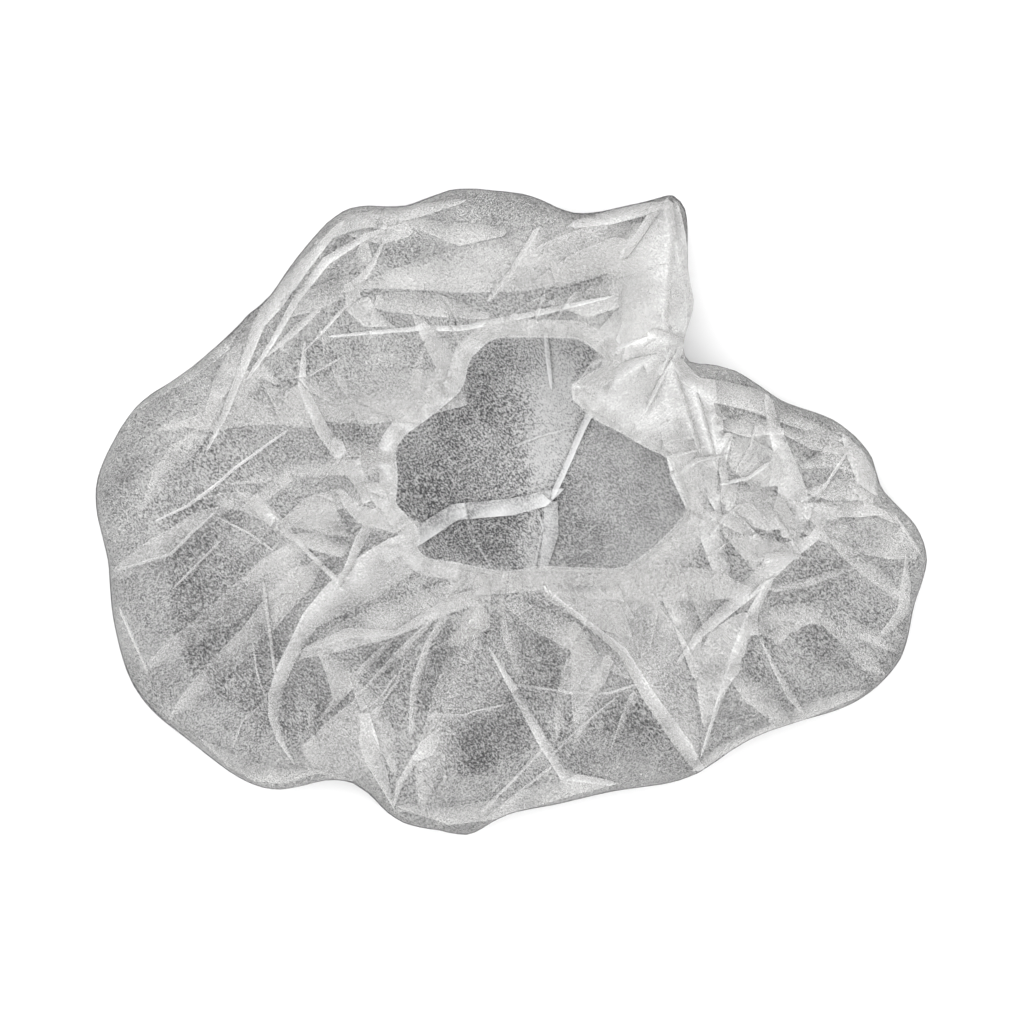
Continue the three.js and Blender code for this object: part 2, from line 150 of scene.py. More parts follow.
# The folds of the gathered side: how brightly each is pressed, and its sections from end to end,
# each with x, y and the fold's width there. Millimetres.
SIDE_FOLDS = [
    # Upper left: the broad folds below, the long sweeps over them, and those that cross.
    (0.14, [(-151, 37, 4), (-138, 47.5, 8), (-124, 55, 9), (-111, 65, 7), (-103, 75, 3)]),
    (0.04, [(-134, 32, 2), (-124, 36, 7), (-112, 41, 6), (-106, 44, 1)]),
    (0.14, [(-116, 38, 2), (-110, 50, 8), (-105, 60, 7), (-101, 69, 4), (-97, 76, 1)]),
    (0.04, [(-130, 33, 0), (-115, 35, 8), (-100, 42, 18), (-88, 40, 14), (-72, 33, 3), (-66, 30, 0)]),
    (0.08, [(-111, 35, 1), (-104, 46, 7), (-96, 55, 7), (-90, 50, 3)]),
    (0.08, [(-86, 44, 5), (-75, 43, 17), (-55, 43.5, 20), (-30, 46, 17), (-10, 49, 12)]),
    (0.08, [(-86, 75, 2), (-76, 81, 9), (-64, 86, 8), (-55, 90, 2)]),
    (0.14, [(-93, 60, 1), (-83, 69, 3), (-74, 77, 2)]),
    (0.04, [(-57, 90, 2), (-57, 97, 7), (-56, 104, 2)]),
    (0.14, [(-60, 106, 2), (-50, 105, 6), (-40, 107, 4)]),
    (0.14, [(-74, 104, 2), (-62, 111, 7), (-48, 113, 6), (-34, 116, 5), (-20, 119, 2)]),
    (0.30, [(-116, 24, 1), (-109, 38, 2.5), (-103, 54, 3), (-97, 72, 5), (-91, 81, 8),
            (-80, 94, 5), (-66, 110, 2)]),
    (0.35, [(-100, 52, 1.2), (-92, 64, 2), (-82, 82, 3), (-71, 96, 3.5), (-56, 105, 2.5), (-49, 108, 1)]),
    (0.30, [(-79, 63, 1.5), (-80, 48, 3), (-72, 31, 5), (-59, 13, 5.5), (-43, -2, 5), (-30, -10, 2)]),
    (0.25, [(-78, 62.5, 0.8), (-70, 71, 1.2), (-63, 79, 1.5), (-59, 84, 3)]),
    (0.20, [(-62, 86, 3), (-60, 79, 8), (-54, 74, 8), (-46, 71, 1)]),
    (0.20, [(-63, 85, 3), (-57, 89, 3), (-53, 95, 2), (-50, 101, 1.5)]),
    # Top: broad overlapping folds behind the opening.
    (0.08, [(-58, 86, 2), (-44, 89, 8), (-20, 92, 17), (2, 95, 22), (22, 99, 24), (42, 101, 18),
            (58, 108, 8)]),
    (0.04, [(-50, 109, 2), (-36, 110, 4), (-20, 106, 9), (-4, 107, 4)]),
    (0.08, [(-57, 80, 3), (-44, 80, 8), (-30, 79, 9), (-14, 76, 5), (-6, 74, 1)]),
    (0.04, [(10, 88, 2), (24, 94, 9), (40, 98, 14), (52, 100, 6)]),
    (0.14, [(16, 80, 3), (28, 80, 12), (38, 84, 14), (47, 90, 8)]),
    (0.20, [(-8, 82, 1.8), (0, 92, 1.8), (9, 107, 1.8)]),
    (0.45, [(-68, 67, 1), (-35, 70, 2), (-20, 70, 2.2), (15, 77, 2.3), (36, 81.5, 1)]),
    (0.15, [(-36, 73, 3), (-28, 63, 9), (-24, 53, 8), (-31, 41, 8), (-42, 33, 4)]),
    # The standing corner, and the folds that run down it to the knot.
    (0.30, [(25, 56, 3), (34, 63, 10), (43, 71, 13), (50, 79, 10), (54, 86, 3)]),
    (0.30, [(25, 51, 3), (34, 58, 10), (46, 62, 12), (57, 62, 6)]),
    (0.30, [(66, 61, 4), (66, 72, 6), (67, 84, 6), (65.5, 94, 6), (64, 106, 5), (63, 118, 2)]),
    (0.30, [(60, 52, 4), (57, 62, 20), (54, 72, 26), (54, 86, 24), (54, 100, 18), (56, 112, 10),
            (60, 121, 1)]),
    (0.35, [(60, 118, 4), (61, 105, 3), (58, 75, 2), (59, 62, 2)]),
    (0.15, [(56, 117, 3), (48, 105, 3), (43, 98, 3)]),
    (0.30, [(24, 110, 3), (38, 113, 6), (52, 116.5, 5), (60, 118, 2)]),
    # The fan that spreads from the knot over the right of the opening.
    (0.35, [(14, 44, 4), (22, 45.5, 5), (32, 46, 16), (45, 45, 26), (60, 42, 30), (72, 38, 20),
            (80, 36, 2)]),
    (0.35, [(62, 58, 5), (67, 44, 18), (71, 30, 16), (73, 18, 11), (76, 8, 5), (79, 0, 2)]),
    (0.30, [(62, 34, 12), (66, 15, 11), (71, 2, 9), (77, -12, 8), (81, -26, 6), (84, -34, 2)]),
    (0.14, [(70, -3, 3), (67, -10, 11), (63, -18, 16), (58, -26, 12), (52, -34, 2)]),
    (0.20, [(78, 35, 4), (80, 20, 3.5), (83, 0, 2.5), (98, -7, 1.2)]),
    (0.08, [(84, -5, 3), (88, -12, 3), (95, -24, 3)]),
    (0.40, [(60, 58, 1.5), (66, 40, 1.5), (71, 25, 1.5)]),
    (0.40, [(62, 56, 1.5), (70, 45, 1.5), (78, 18, 1.5)]),
    (0.40, [(60, 60, 1.5), (57, 50, 1.5), (52, 40, 1)]),
    # Lower right: long folds that cross on their way to the outline.
    (0.08, [(42, -30, 18), (47, -42, 25), (54, -54, 22), (60, -66, 17), (66, -80, 11), (71, -93, 2)]),
    (0.14, [(88, -40, 4), (81, -48, 12), (77, -58, 14), (75, -68, 9), (74, -80, 3)]),
    (0.12, [(60, -30, 8), (66, -40, 10), (69, -52, 8), (70, -62, 3)]),
    (0.14, [(70, -27, 6), (74, -36, 8), (76, -45, 5)]),
    (0.10, [(14, -32, 3), (26, -36, 9), (38, -40, 12), (44, -46, 4)]),
    (0.30, [(64, -56, 1), (72, -46, 3.5), (82, -37, 5), (93, -27, 7), (105, -15, 8), (119, -8, 1)]),
    (0.30, [(99, -25, 2), (92, -38, 4), (86, -54, 5), (79, -72, 2), (73, -92, 1)]),
    (0.04, [(-2, -34, 4), (10, -41, 9), (24, -48, 10), (38, -56, 8), (47, -64, 2)]),
    (0.30, [(73, -102, 1), (71, -98, 4), (66, -90, 6), (52, -70, 5), (42, -53, 3.5), (27, -41, 2),
            (14, -31, 1.5)]),
    (0.14, [(71, -98, 4), (80, -91, 5), (92, -85, 5), (104, -80, 6), (118, -74, 6), (134, -69, 3)]),
    # The hem's lower run, past both ends of the opening.
    (0.14, [(-84, -56, 1), (-74, -52, 6), (-62, -46, 12), (-50, -42, 14), (-38, -38, 13),
            (-26, -33, 12), (-10, -28, 11)]),
    (0.25, [(-78, -52, 2), (-62, -46, 4), (-44, -46, 2), (-34, -40, 3), (-22, -33, 3), (0, -28, 3)]),
    (0.08, [(-14, -28, 8), (10, -26, 8), (30, -28, 10), (46, -27, 13), (62, -27, 14),
            (78, -28, 11), (90, -30, 3)]),
    (0.28, [(-30, -9.5, 9.5), (-43, -17, 16), (-55, -25, 17), (-68, -34, 12.5), (-77, -41.5, 7.5),
            (-82, -50, 5.5), (-87, -60, 5.5), (-90.5, -70, 5), (-91, -78, 4), (-89, -86, 2.5),
            (-84, -95, 1)]),
    # Left: fine creases, and the bands that fan towards the outline.
    (0.04, [(-106, 11, 1), (-96, 13, 4), (-85, 16, 6), (-72, 17, 6), (-56, 17, 6), (-46, 18, 2)]),
    (0.04, [(-66, 27, 2), (-56, 22, 8), (-44, 20, 5)]),
    (0.40, [(-87, 30, 1), (-105, 17, 1.3), (-113, 10, 1.3), (-124, 2, 1.2), (-135, -3, 0.8)]),
    (0.08, [(-107, 2, 2), (-118, -3, 8), (-128, -10, 9), (-140, -17, 9), (-151, -24, 6), (-158, -27, 1)]),
    (0.30, [(-114, -1, 1), (-122, -8, 1.2), (-130, -16, 1.2), (-150, -22, 1)]),
    (0.14, [(-112, 5, 5), (-101, 4, 8), (-91, -2, 6), (-83, -10, 3)]),
    (0.04, [(-101, 3, 1), (-94, 7, 5), (-85, 14, 5)]),
    (0.35, [(-93, -2, 1.5), (-83, -10, 1.5), (-75, -18, 1.8), (-64, -29, 1.5)]),
    (0.30, [(-78, -15, 1), (-65, -26.5, 1)]),
    (0.04, [(-79, -12, 6), (-90, -22, 13), (-104, -34, 12), (-118, -45, 10), (-130, -53, 8),
            (-140, -60, 2)]),
    (0.08, [(-79, -22, 5), (-90, -35, 9), (-100, -48, 9), (-112, -60, 9), (-124, -72, 6),
            (-132, -80, 1)]),
    (0.08, [(-73, -18, 3), (-80, -27, 8), (-88, -38, 5), (-92, -46, 1)]),
    (0.20, [(-150, -38, 1.2), (-140, -60, 1.2)]),
    (0.30, [(-94.5, -28, 1.2), (-93, -40, 1.2), (-90.5, -60, 1.2)]),
    (0.25, [(-98.5, -52, 0.8), (-97, -62, 0.8), (-94, -70, 0.8)]),
    (0.25, [(-110, -3, 0.9), (-100, -8, 0.9), (-92, -14, 0.9)]),
    (0.20, [(-112, -12, 1), (-128, -28, 1)]),
    (0.04, [(-118, 30, 6), (-127, 22, 9), (-134, 13, 8), (-141, 1, 1)]),
    (0.12, [(-90, -5, 1), (-80, -2, 9), (-70, -3, 12), (-63, -8, 3)]),
    (0.14, [(-86, -9, 1), (-75, -11, 7), (-64, -15, 5)]),
    (0.20, [(-64, 3, 2), (-57, -1, 7), (-48, -4, 6), (-40, -8, 3)]),
    (0.04, [(-88, -4, 1), (-78, 2, 7), (-66, 5, 8), (-52, 8, 7), (-42, 8, 2)]),
    (0.20, [(-52, 0, 4), (-58, -11, 4), (-63, -22, 2.5), (-66, -28, 1.5)]),
    # Lower left and the front.
    (0.08, [(-118, -88, 1), (-108, -95, 6), (-98, -100, 7), (-88, -101, 6), (-74, -99, 2)]),
    (0.08, [(-60, -72, 1), (-62, -80, 14), (-64, -88, 22), (-68, -95, 28), (-70, -101, 16)]),
    (0.20, [(-57, -76, 1), (-55, -88, 7), (-52, -96, 7), (-46, -112, 1)]),
    (0.20, [(-32, -83, 1), (-35, -91, 3), (-43, -104, 2.5), (-45, -112, 1)]),
    (0.25, [(-31, -83, 0.8), (-15, -76, 0.8), (-5, -74, 0.8)]),
    (0.14, [(-26, -41, 3), (-32, -50, 2.5), (-37, -66, 3.5), (-38.5, -84, 2)]),
    (0.10, [(-72, -54, 4), (-66, -60, 10), (-66, -71, 5)]),
    (0.14, [(-32, -43, 2), (-42, -53, 3), (-56, -67, 1)]),
    (0.08, [(-46, -49, 1), (-54, -57, 3), (-64, -68, 4), (-72, -78, 1)]),
    (0.08, [(-62, -62, 2), (-54, -74, 8), (-48, -86, 8), (-45, -98, 3)]),
    (0.15, [(-96, -74, 0.8), (-103, -80, 0.8), (-106, -88, 0.8)]),
    (0.00, [(-12, -34, 6), (-17, -50, 12), (-23, -70, 14), (-29, -88, 12), (-33, -103, 8),
            (-34, -112, 3)]),
    (0.12, [(-42, -113, 2), (-24, -116.5, 7), (-6, -114, 8), (12, -108, 8), (26, -105, 6),
            (38, -104, 2)]),
    (0.20, [(-10, -113, 1.2), (0, -103, 1.2), (12, -90, 1.2)]),
    (0.20, [(-8, -116, 1.2), (14, -98, 1.2)]),
    (0.30, [(-8, -53, 1), (1, -68, 3), (12, -88, 4), (20, -101, 4), (38, -104, 2)]),
    (0.25, [(3, -66, 1), (25, -69, 1), (37, -69, 1), (46, -66, 1)]),
    (0.04, [(28, -48, 2), (22, -60, 6), (19, -74, 5), (17, -87, 1)]),
    (0.10, [(24, -44, 4), (28, -56, 11), (28, -70, 11), (26, -83, 5), (24, -91, 1)]),
    (0.04, [(-4, -36, 3), (0, -48, 7), (3, -60, 4)]),
    (0.15, [(15, -93, 0.8), (25, -83, 0.8), (38, -72, 0.8)]),
    # Right.
    (0.14, [(66, 50, 3), (78, 46, 9), (92, 43, 9), (104, 37, 6), (118, 31, 4), (128, 27, 1)]),
    (0.25, [(98, 43, 3), (100, 32, 5), (104, 20, 7), (107, 8, 11), (107, -2, 13), (106, -10, 6)]),
    (0.04, [(80, 28, 6), (88, 22, 14), (96, 16, 16), (102, 12, 5)]),
    (0.14, [(80, 8, 6), (90, 3, 15), (99, 0, 15), (106, -4, 6)]),
    (0.14, [(82, -8, 3), (90, -14, 9), (97, -13, 9), (104, -15, 4)]),
    (0.04, [(112, 18, 3), (122, 21, 8), (130, 20, 9), (136, 14, 3)]),
    (0.14, [(114, 8, 3), (124, 8, 9), (133, 9, 9), (138, 5, 3)]),
    (0.30, [(81, 11, 1.5), (90, 13, 1.5), (97, 18, 1.5)]),
    (0.30, [(127, 21, 1.2), (119, 9, 1.2), (110, 3, 1.2)]),
    (0.25, [(128, 28, 3), (132, 21, 7), (136, 13, 8), (139, 8, 3)]),
    (0.15, [(109, 3, 2), (117, -2, 7), (126, -4, 4)]),
    (0.04, [(133, 8, 3), (140, 2, 7), (147, -3, 3)]),
    (0.14, [(114, 3, 2), (124, 1, 6), (134, 1, 6), (142, 0, 2)]),
    (0.10, [(104, 31, 3), (116, 27, 7), (126, 24, 4)]),
    (0.10, [(80, 33, 3), (90, 33, 9), (99, 32, 5)]),
    (0.20, [(77, -1, 3), (86, -5, 5), (94, -10, 2)]),
    (0.08, [(112, -7, 3), (124, -9, 9), (136, -9, 15), (148, -12, 13), (156, -16, 5)]),
    (0.20, [(148, -3, 1), (156, -15, 1)]),
    (0.08, [(122, -11, 2), (130, -17, 6), (140, -25, 6), (149, -33, 3)]),
    (0.08, [(100, -29, 3), (112, -27, 3.5), (124, -23, 2.5), (129, -22, 1)]),
    (0.14, [(151, -17, 1), (151, -28, 4), (150, -38, 5), (146, -43, 4), (141, -48, 2)]),
    (0.08, [(90, -44, 6), (103, -41, 12), (114, -38.5, 8), (125, -41, 7), (136, -47, 5), (147, -53, 2)]),
    (0.04, [(120, -42, 4), (130, -50, 6), (137, -58, 7), (142, -61, 2)]),
    (0.20, [(95, -49, 0.8), (101, -61, 2), (107, -71, 3), (111, -76, 1)]),
    (0.08, [(84, -60, 6), (92, -69, 9), (100, -75, 9), (105, -79, 3)]),
]

# The folds of the crown, seen through the opening, in the same columns.
CROWN_FOLDS = [
    (0.20, [(15, 4, 5), (15, -8, 6), (12, -22, 3)]),
    (0.40, [(-50, -16, 8), (-36, -9, 7), (-22, 0, 6.5), (0, 2, 6.5), (12, 5, 6), (18, 8, 2)]),
    (0.45, [(16, 7, 2.2), (22, 20, 2.2), (27, 32, 2.5), (34, 46, 3)]),
    (0.40, [(13, 68, 1.5), (14, 58, 1.8), (15, 49, 1.2)]),
    (0.25, [(-18, 2, 1), (-16, -8, 1), (-8, -21, 1)]),
    (0.25, [(10, 0, 1), (12, -6, 1), (8, -24, 1)]),
    (0.20, [(0, 25, 0.8), (10, 29, 0.8), (21, 32, 0.8)]),
    (0.15, [(-20, 16, 0.8), (-11, 21, 0.8)]),
    (0.15, [(-5, 30, 0.8), (-3, 25, 0.8)]),
]


class CapClothSizes(bpy.types.PropertyGroup):
    """How the sheet of cloth is laid out, pleated and creased."""

    rays: IntProperty(
        name="Threads of the net around", description="Cells of the sheet's net around the cap",
        default=260, min=120,
    )
    cell: FloatProperty(
        name="Cell", description="Longest side of a cell of the net once it is pleated",
        default=3.9 * MM, unit="LENGTH",
    )
    ply_gap: FloatProperty(
        name="Ply gap", description="Space between the plies of a fold", default=0.3 * MM,
        unit="LENGTH",
    )
    pressed_edge: FloatProperty(
        name="Pressed edge", description="Width of the bright line along a folded edge",
        default=0.45 * MM, unit="LENGTH",
    )
    undercut: FloatProperty(
        name="Undercut",
        description="How far the side rolls in under the outline before the crown lies flat",
        default=22 * MM, unit="LENGTH",
    )
    crumple: FloatProperty(
        name="Crumple", description="Height of the soft dents between the folds", default=1.6 * MM,
        unit="LENGTH",
    )
    cut_side: FloatProperty(
        name="Cut", description="Across the round blank that the cap is cut to", default=533 * MM,
        unit="LENGTH",
    )
    gathers: IntProperty(
        name="Gathers", description="Small folds that the elastic draws up along the hem", default=30,
        min=0,
    )
    creases: IntProperty(
        name="Creases", description="Fine creases strewn over the side", default=48, min=0,
    )
    seed: IntProperty(name="Seed", description="Of the gathers and creases", default=7)


class CapHemSizes(bpy.types.PropertyGroup):
    """The folded hem and the elastic in it."""

    width: FloatProperty(
        name="Width", description="Of the folded hem", default=7 * MM, unit="LENGTH",
    )
    thickness: FloatProperty(
        name="Thickness", description="Through the folded hem", default=0.9 * MM, unit="LENGTH",
    )
    ruffle: FloatProperty(
        name="Ruffle", description="Height of its ruffles", default=0.8 * MM, unit="LENGTH",
    )
    ruffle_pitch: FloatProperty(
        name="Ruffle pitch", description="From one ruffle to the next", default=6.5 * MM, unit="LENGTH",
    )
    elastic_width: FloatProperty(
        name="Elastic width", description="Of the elastic", default=1.1 * MM, unit="LENGTH",
    )


class CapColours(bpy.types.PropertyGroup):
    """Colours and cover of the cloth."""

    sheer: FloatVectorProperty(
        name="Sheer fibre", description="Colour of the fibres in a single ply", subtype="COLOR",
        default=(0.64, 0.636, 0.626),
    )
    pressed: FloatVectorProperty(
        name="Pressed fibre",
        description="Colour of the cloth where it is pressed into a fold or gathered", subtype="COLOR",
        default=(0.665, 0.667, 0.669),
    )
    crown_gap: FloatVectorProperty(
        name="Crown gap", description="Colour between the fibres of the crown", subtype="COLOR",
        default=(0.05, 0.05, 0.052),
    )
    crown_fibre: FloatVectorProperty(
        name="Crown fibre", description="Colour of the crown's fibres", subtype="COLOR",
        default=(0.46, 0.46, 0.46),
    )
    # Painted shade: this dark colour at the outline, up the side and round the top of the roll stands in
    # for shade, not for a colour of the cloth.
    outline: FloatVectorProperty(
        name="Outline", description="Colour of the cloth where it turns under at the outline",
        subtype="COLOR", default=(0.05, 0.05, 0.052),
    )
    elastic: FloatVectorProperty(
        name="Elastic", description="Colour of the elastic", subtype="COLOR",
        default=(0.36, 0.36, 0.355),
    )
    cover: FloatProperty(
        name="Cover", description="Share of the light that a single ply stops between its strands",
        subtype="FACTOR", default=0.06,
    )
    fibre_size: FloatProperty(
        name="Fibre size", description="Size of the mottling of the fibre web", default=0.43 * MM,
        unit="LENGTH",
    )
    strand_size: FloatProperty(
        name="Strand size", description="Size of the loops that the single strands make",
        default=1.7 * MM, unit="LENGTH",
    )


class CapStageSettings(bpy.types.PropertyGroup):
    """The camera, the floor and the lights."""

    view_width: FloatProperty(
        name="View width", description="Across the picture, at the height of the outline",
        default=394.2 * MM, unit="LENGTH",
    )
    camera_height: FloatProperty(
        name="Camera height", description="Above the floor", default=4.0, unit="LENGTH",
    )
    sky: FloatProperty(name="Sky", description="Strength of the even light", default=1.7)
    lamp: FloatProperty(
        name="Lamp", description="Power of the soft lamp overhead", default=5.0, unit="POWER",
    )
    floor: FloatVectorProperty(
        name="Floor", description="Colour of the floor", subtype="COLOR", default=(0.9, 0.9, 0.9),
    )


def clamped(value):
    """The value, kept between 0 and 1."""
    return min(max(value, 0), 1)


def smooth_ring(values, passes):
    """The values of a closed ring, each blended with its neighbours."""
    for _ in range(passes):
        values = 0.25 * np.roll(values, 1, 0) + 0.5 * values + 0.25 * np.roll(values, -1, 0)
    return values


class Form:
    """The puffed form that carries the cloth, read from the frame's solid."""

    STATIONS = [*np.linspace(0, 0.9, 22), 0.93, 0.955, 0.975, 0.988, 0.996, 0.9985, 1.0]

    def __init__(self, rays):
        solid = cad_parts["cap_fabric"].data
        self.solid = BVHTree.FromPolygons(
            [v.co for v in solid.vertices], [p.vertices[:] for p in solid.polygons]
        )
        widest = max(solid.vertices, key=lambda v: v.co.xy.length)
        self.rim_height = widest.co.z
        self.bearings = np.radians(np.arange(0, 360, 0.5))
        self.reaches = smooth_ring(np.array([self.reach_cast(b) for b in self.bearings]), 3)
        trim = np.array(TRIM)
        added = np.interp(np.degrees(self.bearings), trim[:, 0], trim[:, 1] * MM, period=360)
        self.reaches += smooth_ring(added, 3)
        self.rays = self.spaced_bearings(rays)
        edge = np.array(EDGE)
        degrees = np.degrees(self.rays)
        self.hem = np.stack(
            [np.interp(degrees, edge[:, 2], edge[:, k] * MM, period=360) for k in (0, 1)], 1
        )
        self.hem = smooth_ring(self.hem, 2)
        bearings = np.arctan2(self.hem[:, 1], self.hem[:, 0]) % (2 * math.pi)
        order = np.argsort(bearings)
        self.edge_bearings = bearings[order]
        self.edge_reaches = np.linalg.norm(self.hem, axis=1)[order]
        reach = self.reach(self.rays)
        self.rim = np.stack([reach * np.cos(self.rays), reach * np.sin(self.rays)], 1)
        self.heights = self.read_heights()
        self.carrier = self.make_carrier()

    def reach_cast(self, bearing):
        """How far out the solid's widest line lies at a bearing."""
        out = Vector((math.cos(bearing), math.sin(bearing), 0))
        start = out * 0.5 + Vector((0, 0, self.rim_height + 0.05 * MM))
        place = self.solid.ray_cast(start, -out)[0]
        return place.xy.length

    def reach(self, bearing):
        return np.interp(bearing, self.bearings, self.reaches, period=2 * math.pi)

    def spaced_bearings(self, count):
        """Bearings that are evenly spaced along the outline."""
        around = np.append(self.bearings, 2 * math.pi)
        reach = np.append(self.reaches, self.reaches[0])
        corners = np.stack([reach * np.cos(around), reach * np.sin(around)], 1)
        steps = np.linalg.norm(np.diff(corners, axis=0), axis=1)
        run = np.concatenate([[0], np.cumsum(steps)])
        return np.interp(np.arange(count) * run[-1] / count, run, around)

    def plan(self, ray, station):
        """Where a station on a ray lies, seen from above."""
        return self.hem[ray] + (self.rim[ray] - self.hem[ray]) * station

    def read_heights(self):
        """The solid's upper surface at every station of every ray."""
        heights = np.zeros((len(self.rays), len(self.STATIONS)))
        for i in range(len(self.rays)):
            known = None
            for j in range(len(self.STATIONS) - 1, -1, -1):
                x, y = self.plan(i, self.STATIONS[j])
                place = self.solid.ray_cast(Vector((x, y, 0.3)), DOWN)[0]
                missed = place is None or place.z < 0.9 * self.rim_height
                height = known if missed else place.z
                if self.STATIONS[j] > 0.999 or height is None:
                    height = self.rim_height
                known = height
                heights[i, j] = height
        smoothed = smooth_ring(heights, 2)
        smoothed[:, -1] = self.rim_height
        return smoothed

    def make_carrier(self):
        """The upper surface with its soft dents, as something to drop the pleated cloth on."""
        sizes = bpy.context.scene.cap_cloth
        places = []
        for i in range(len(self.rays)):
            for j, station in enumerate(self.STATIONS):
                x, y = self.plan(i, station)
                fade = math.sin(math.pi * min(station, 0.995)) ** 0.5
                places.append((x, y, self.heights[i, j] + sizes.crumple * fade * dents(x, y)))
        columns = len(self.STATIONS)
        quads = [
            (
                i * columns + j,
                i * columns + j + 1,
                (i + 1) % len(self.rays) * columns + j + 1,
                (i + 1) % len(self.rays) * columns + j,
            )
            for i in range(len(self.rays))
            for j in range(columns - 1)
        ]
        return BVHTree.FromPolygons(places, quads)

    def covered(self, x, y):
        """How far a place lies under the side: 0 in the opening, 1 beyond its edge."""
        bearing = math.atan2(y, x) % (2 * math.pi)
        edge = np.interp(bearing, self.edge_bearings, self.edge_reaches, period=2 * math.pi)
        return clamped((math.hypot(x, y) - edge) / (3 * MM))

    def height(self, x, y):
        """The height of the carrying surface under a point, or of its nearest edge."""
        place = self.carrier.ray_cast(Vector((x, y, 0.3)), DOWN)[0]
        if place is None:
            place = self.carrier.find_nearest(Vector((x, y, 2.5 * self.rim_height)))[0]
        return place.z


def dents(x, y):
    """Soft dents with pinched crests, from about -1 to 1, at a place on the cloth."""
    place = Vector((x, y, 0)) / (34 * MM)
    broad = noise.noise(place)
    pinched = 0.5 - abs(noise.noise(place * 2.3 + Vector((7, 3, 1)))) * 2
    return broad + 0.5 * pinched


def corners_of(sections):
    """The left and right ends of each section of a fold, mitred where the fold bends."""
    rows = np.array(sections, dtype=float) * MM
    centres, widths = rows[:, :2], rows[:, 2]
    along = np.diff(centres, axis=0)
    along /= np.linalg.norm(along, axis=1)[:, None]
    before = np.vstack([along[:1], along])
    after = np.vstack([along, along[-1:]])
    middle = before + after
    middle /= np.linalg.norm(middle, axis=1)[:, None]
    across = np.stack([-middle[:, 1], middle[:, 0]], 1) * widths[:, None] / 2
    return centres + across, centres - across


def closed_sections(sections):
    """The sections, with a tip of no width added past each end that is open but narrow."""
    sections = list(sections)
    for end, inner in ((0, 1), (-1, -2)):
        x, y, width = sections[end]
        if 0 < width <= NARROW_END:
            way = Vector((x - sections[inner][0], y - sections[inner][1])).normalized() * TIP_LENGTH
            place = (x + way.x, y + way.y, 0.0)
            sections = [place, *sections] if end == 0 else [*sections, place]
    return sections


def across_quad(points, a, b, c, d):
    """Where points lie in the quad a, b (first section) and d, c (next one): along and across."""

    def cross(p, q):
        return p[..., 0] * q[..., 1] - p[..., 1] * q[..., 0]

    first, change, drift = b - a, (c - b) - (d - a), -(d - a)
    start = points - a
    k2 = cross(change, drift) + 0 * start[:, 0]
    k1 = cross(first, drift) + cross(change[None, :], start)
    k0 = cross(first[None, :], start)
    flat = np.abs(k2) < 1e-14
    root = np.sqrt(np.maximum(k1 * k1 - 4 * k2 * k0, 0))
    safe_k2 = np.where(flat, 1, k2)
    safe_k1 = np.where(np.abs(k1) < 1e-18, 1e-18, k1)
    choices = [
        np.where(flat, -k0 / safe_k1, (-k1 + root) / (2 * safe_k2)),
        np.where(flat, -k0 / safe_k1, (-k1 - root) / (2 * safe_k2)),
    ]
    best_along = np.full(len(points), -1.0)
    best_across = np.full(len(points), -1.0)
    slack = 1e-4
    for along in choices:
        left = a + along[:, None] * (d - a)
        way = first + along[:, None] * change
        size = np.maximum((way * way).sum(1), 1e-16)
        across = ((points - left) * way).sum(1) / size
        inside = (along > -slack) & (along < 1 + slack) & (across > -slack) & (across < 1 + slack)
        wide = (way * way).sum(1) > 1e-12
        good = inside & wide
        best_along = np.where(good, along, best_along)
        best_across = np.where(good, across, best_across)
    return best_along, best_across


def turned_over(across):
    """Where a share of the way across a fold comes to lie once its plies are turned over."""
    return np.where(
        across < 1 / 3, 3 * across, np.where(across < 2 / 3, 2 - 3 * across, 3 * across - 2)
    )


def ply_height(across):
    """How many ply gaps a share of the way across a fold lies above the cloth below."""
    return np.interp(across, [0, 1 / 3, 2 / 3, 1], [0, 0.5, 1.5, 2])


def in_order(things):
    """The things without repeats, in the order they come: a set's order changes from run to run."""
    return list(dict.fromkeys(things))


def crosses(face, start, way, length):
    """Whether a line from start, along the unit direction way, runs through a face."""
    hits = []
    last = face.verts[-1].co
    last_side = (last.y - start[1]) * way[0] - (last.x - start[0]) * way[1]
    for vert in face.verts:
        co = vert.co
        side = (co.y - start[1]) * way[0] - (co.x - start[0]) * way[1]
        if side * last_side < 0:
            t = last_side / (last_side - side)
            x = last.x + (co.x - last.x) * t - start[0]
            y = last.y + (co.y - last.y) * t - start[1]
            hits.append(x * way[0] + y * way[1])
        last, last_side = co, side
    return bool(hits) and max(hits) > SNAP and min(hits) < length - SNAP


def cut_along(patch, faces, start, end):
    """Cuts the faces under a line, seen from above, along it, and adds the new ones to them."""
    way = end - start
    length = float(np.linalg.norm(way))
    if length < SNAP:
        return
    start = start.tolist()
    way = (way / length).tolist()
    near = []
    for face in faces:
        co = face.verts[0].co
        dx, dy = co.x - start[0], co.y - start[1]
        along = dx * way[0] + dy * way[1]
        if -CELL_REACH < along < length + CELL_REACH:
            if abs(dx * way[1] - dy * way[0]) < CELL_REACH and crosses(face, start, way, length):
                near.append(face)
    if not near:
        return
    edges = in_order(e for f in near for e in f.edges)
    verts = in_order(v for f in near for v in f.verts)
    result = bmesh.ops.bisect_plane(
        patch,
        geom=[*verts, *edges, *near],
        dist=SNAP,
        plane_co=(*start, 0),
        plane_no=(-way[1], way[0], 0),
    )
    faces[:] = in_order(
        [*faces, *(g for g in result["geom"] if isinstance(g, bmesh.types.BMFace))]
    )


def sheet_layers(bm):
    """What the net carries: station and fade on its corners, and the rest on its faces."""
    return {
        "station": bm.verts.layers.float.new("station"),
        "fade": bm.verts.layers.float.new("fade"),
        "press": bm.faces.layers.float.new("press"),
        "level": bm.faces.layers.int.new("level"),
    }


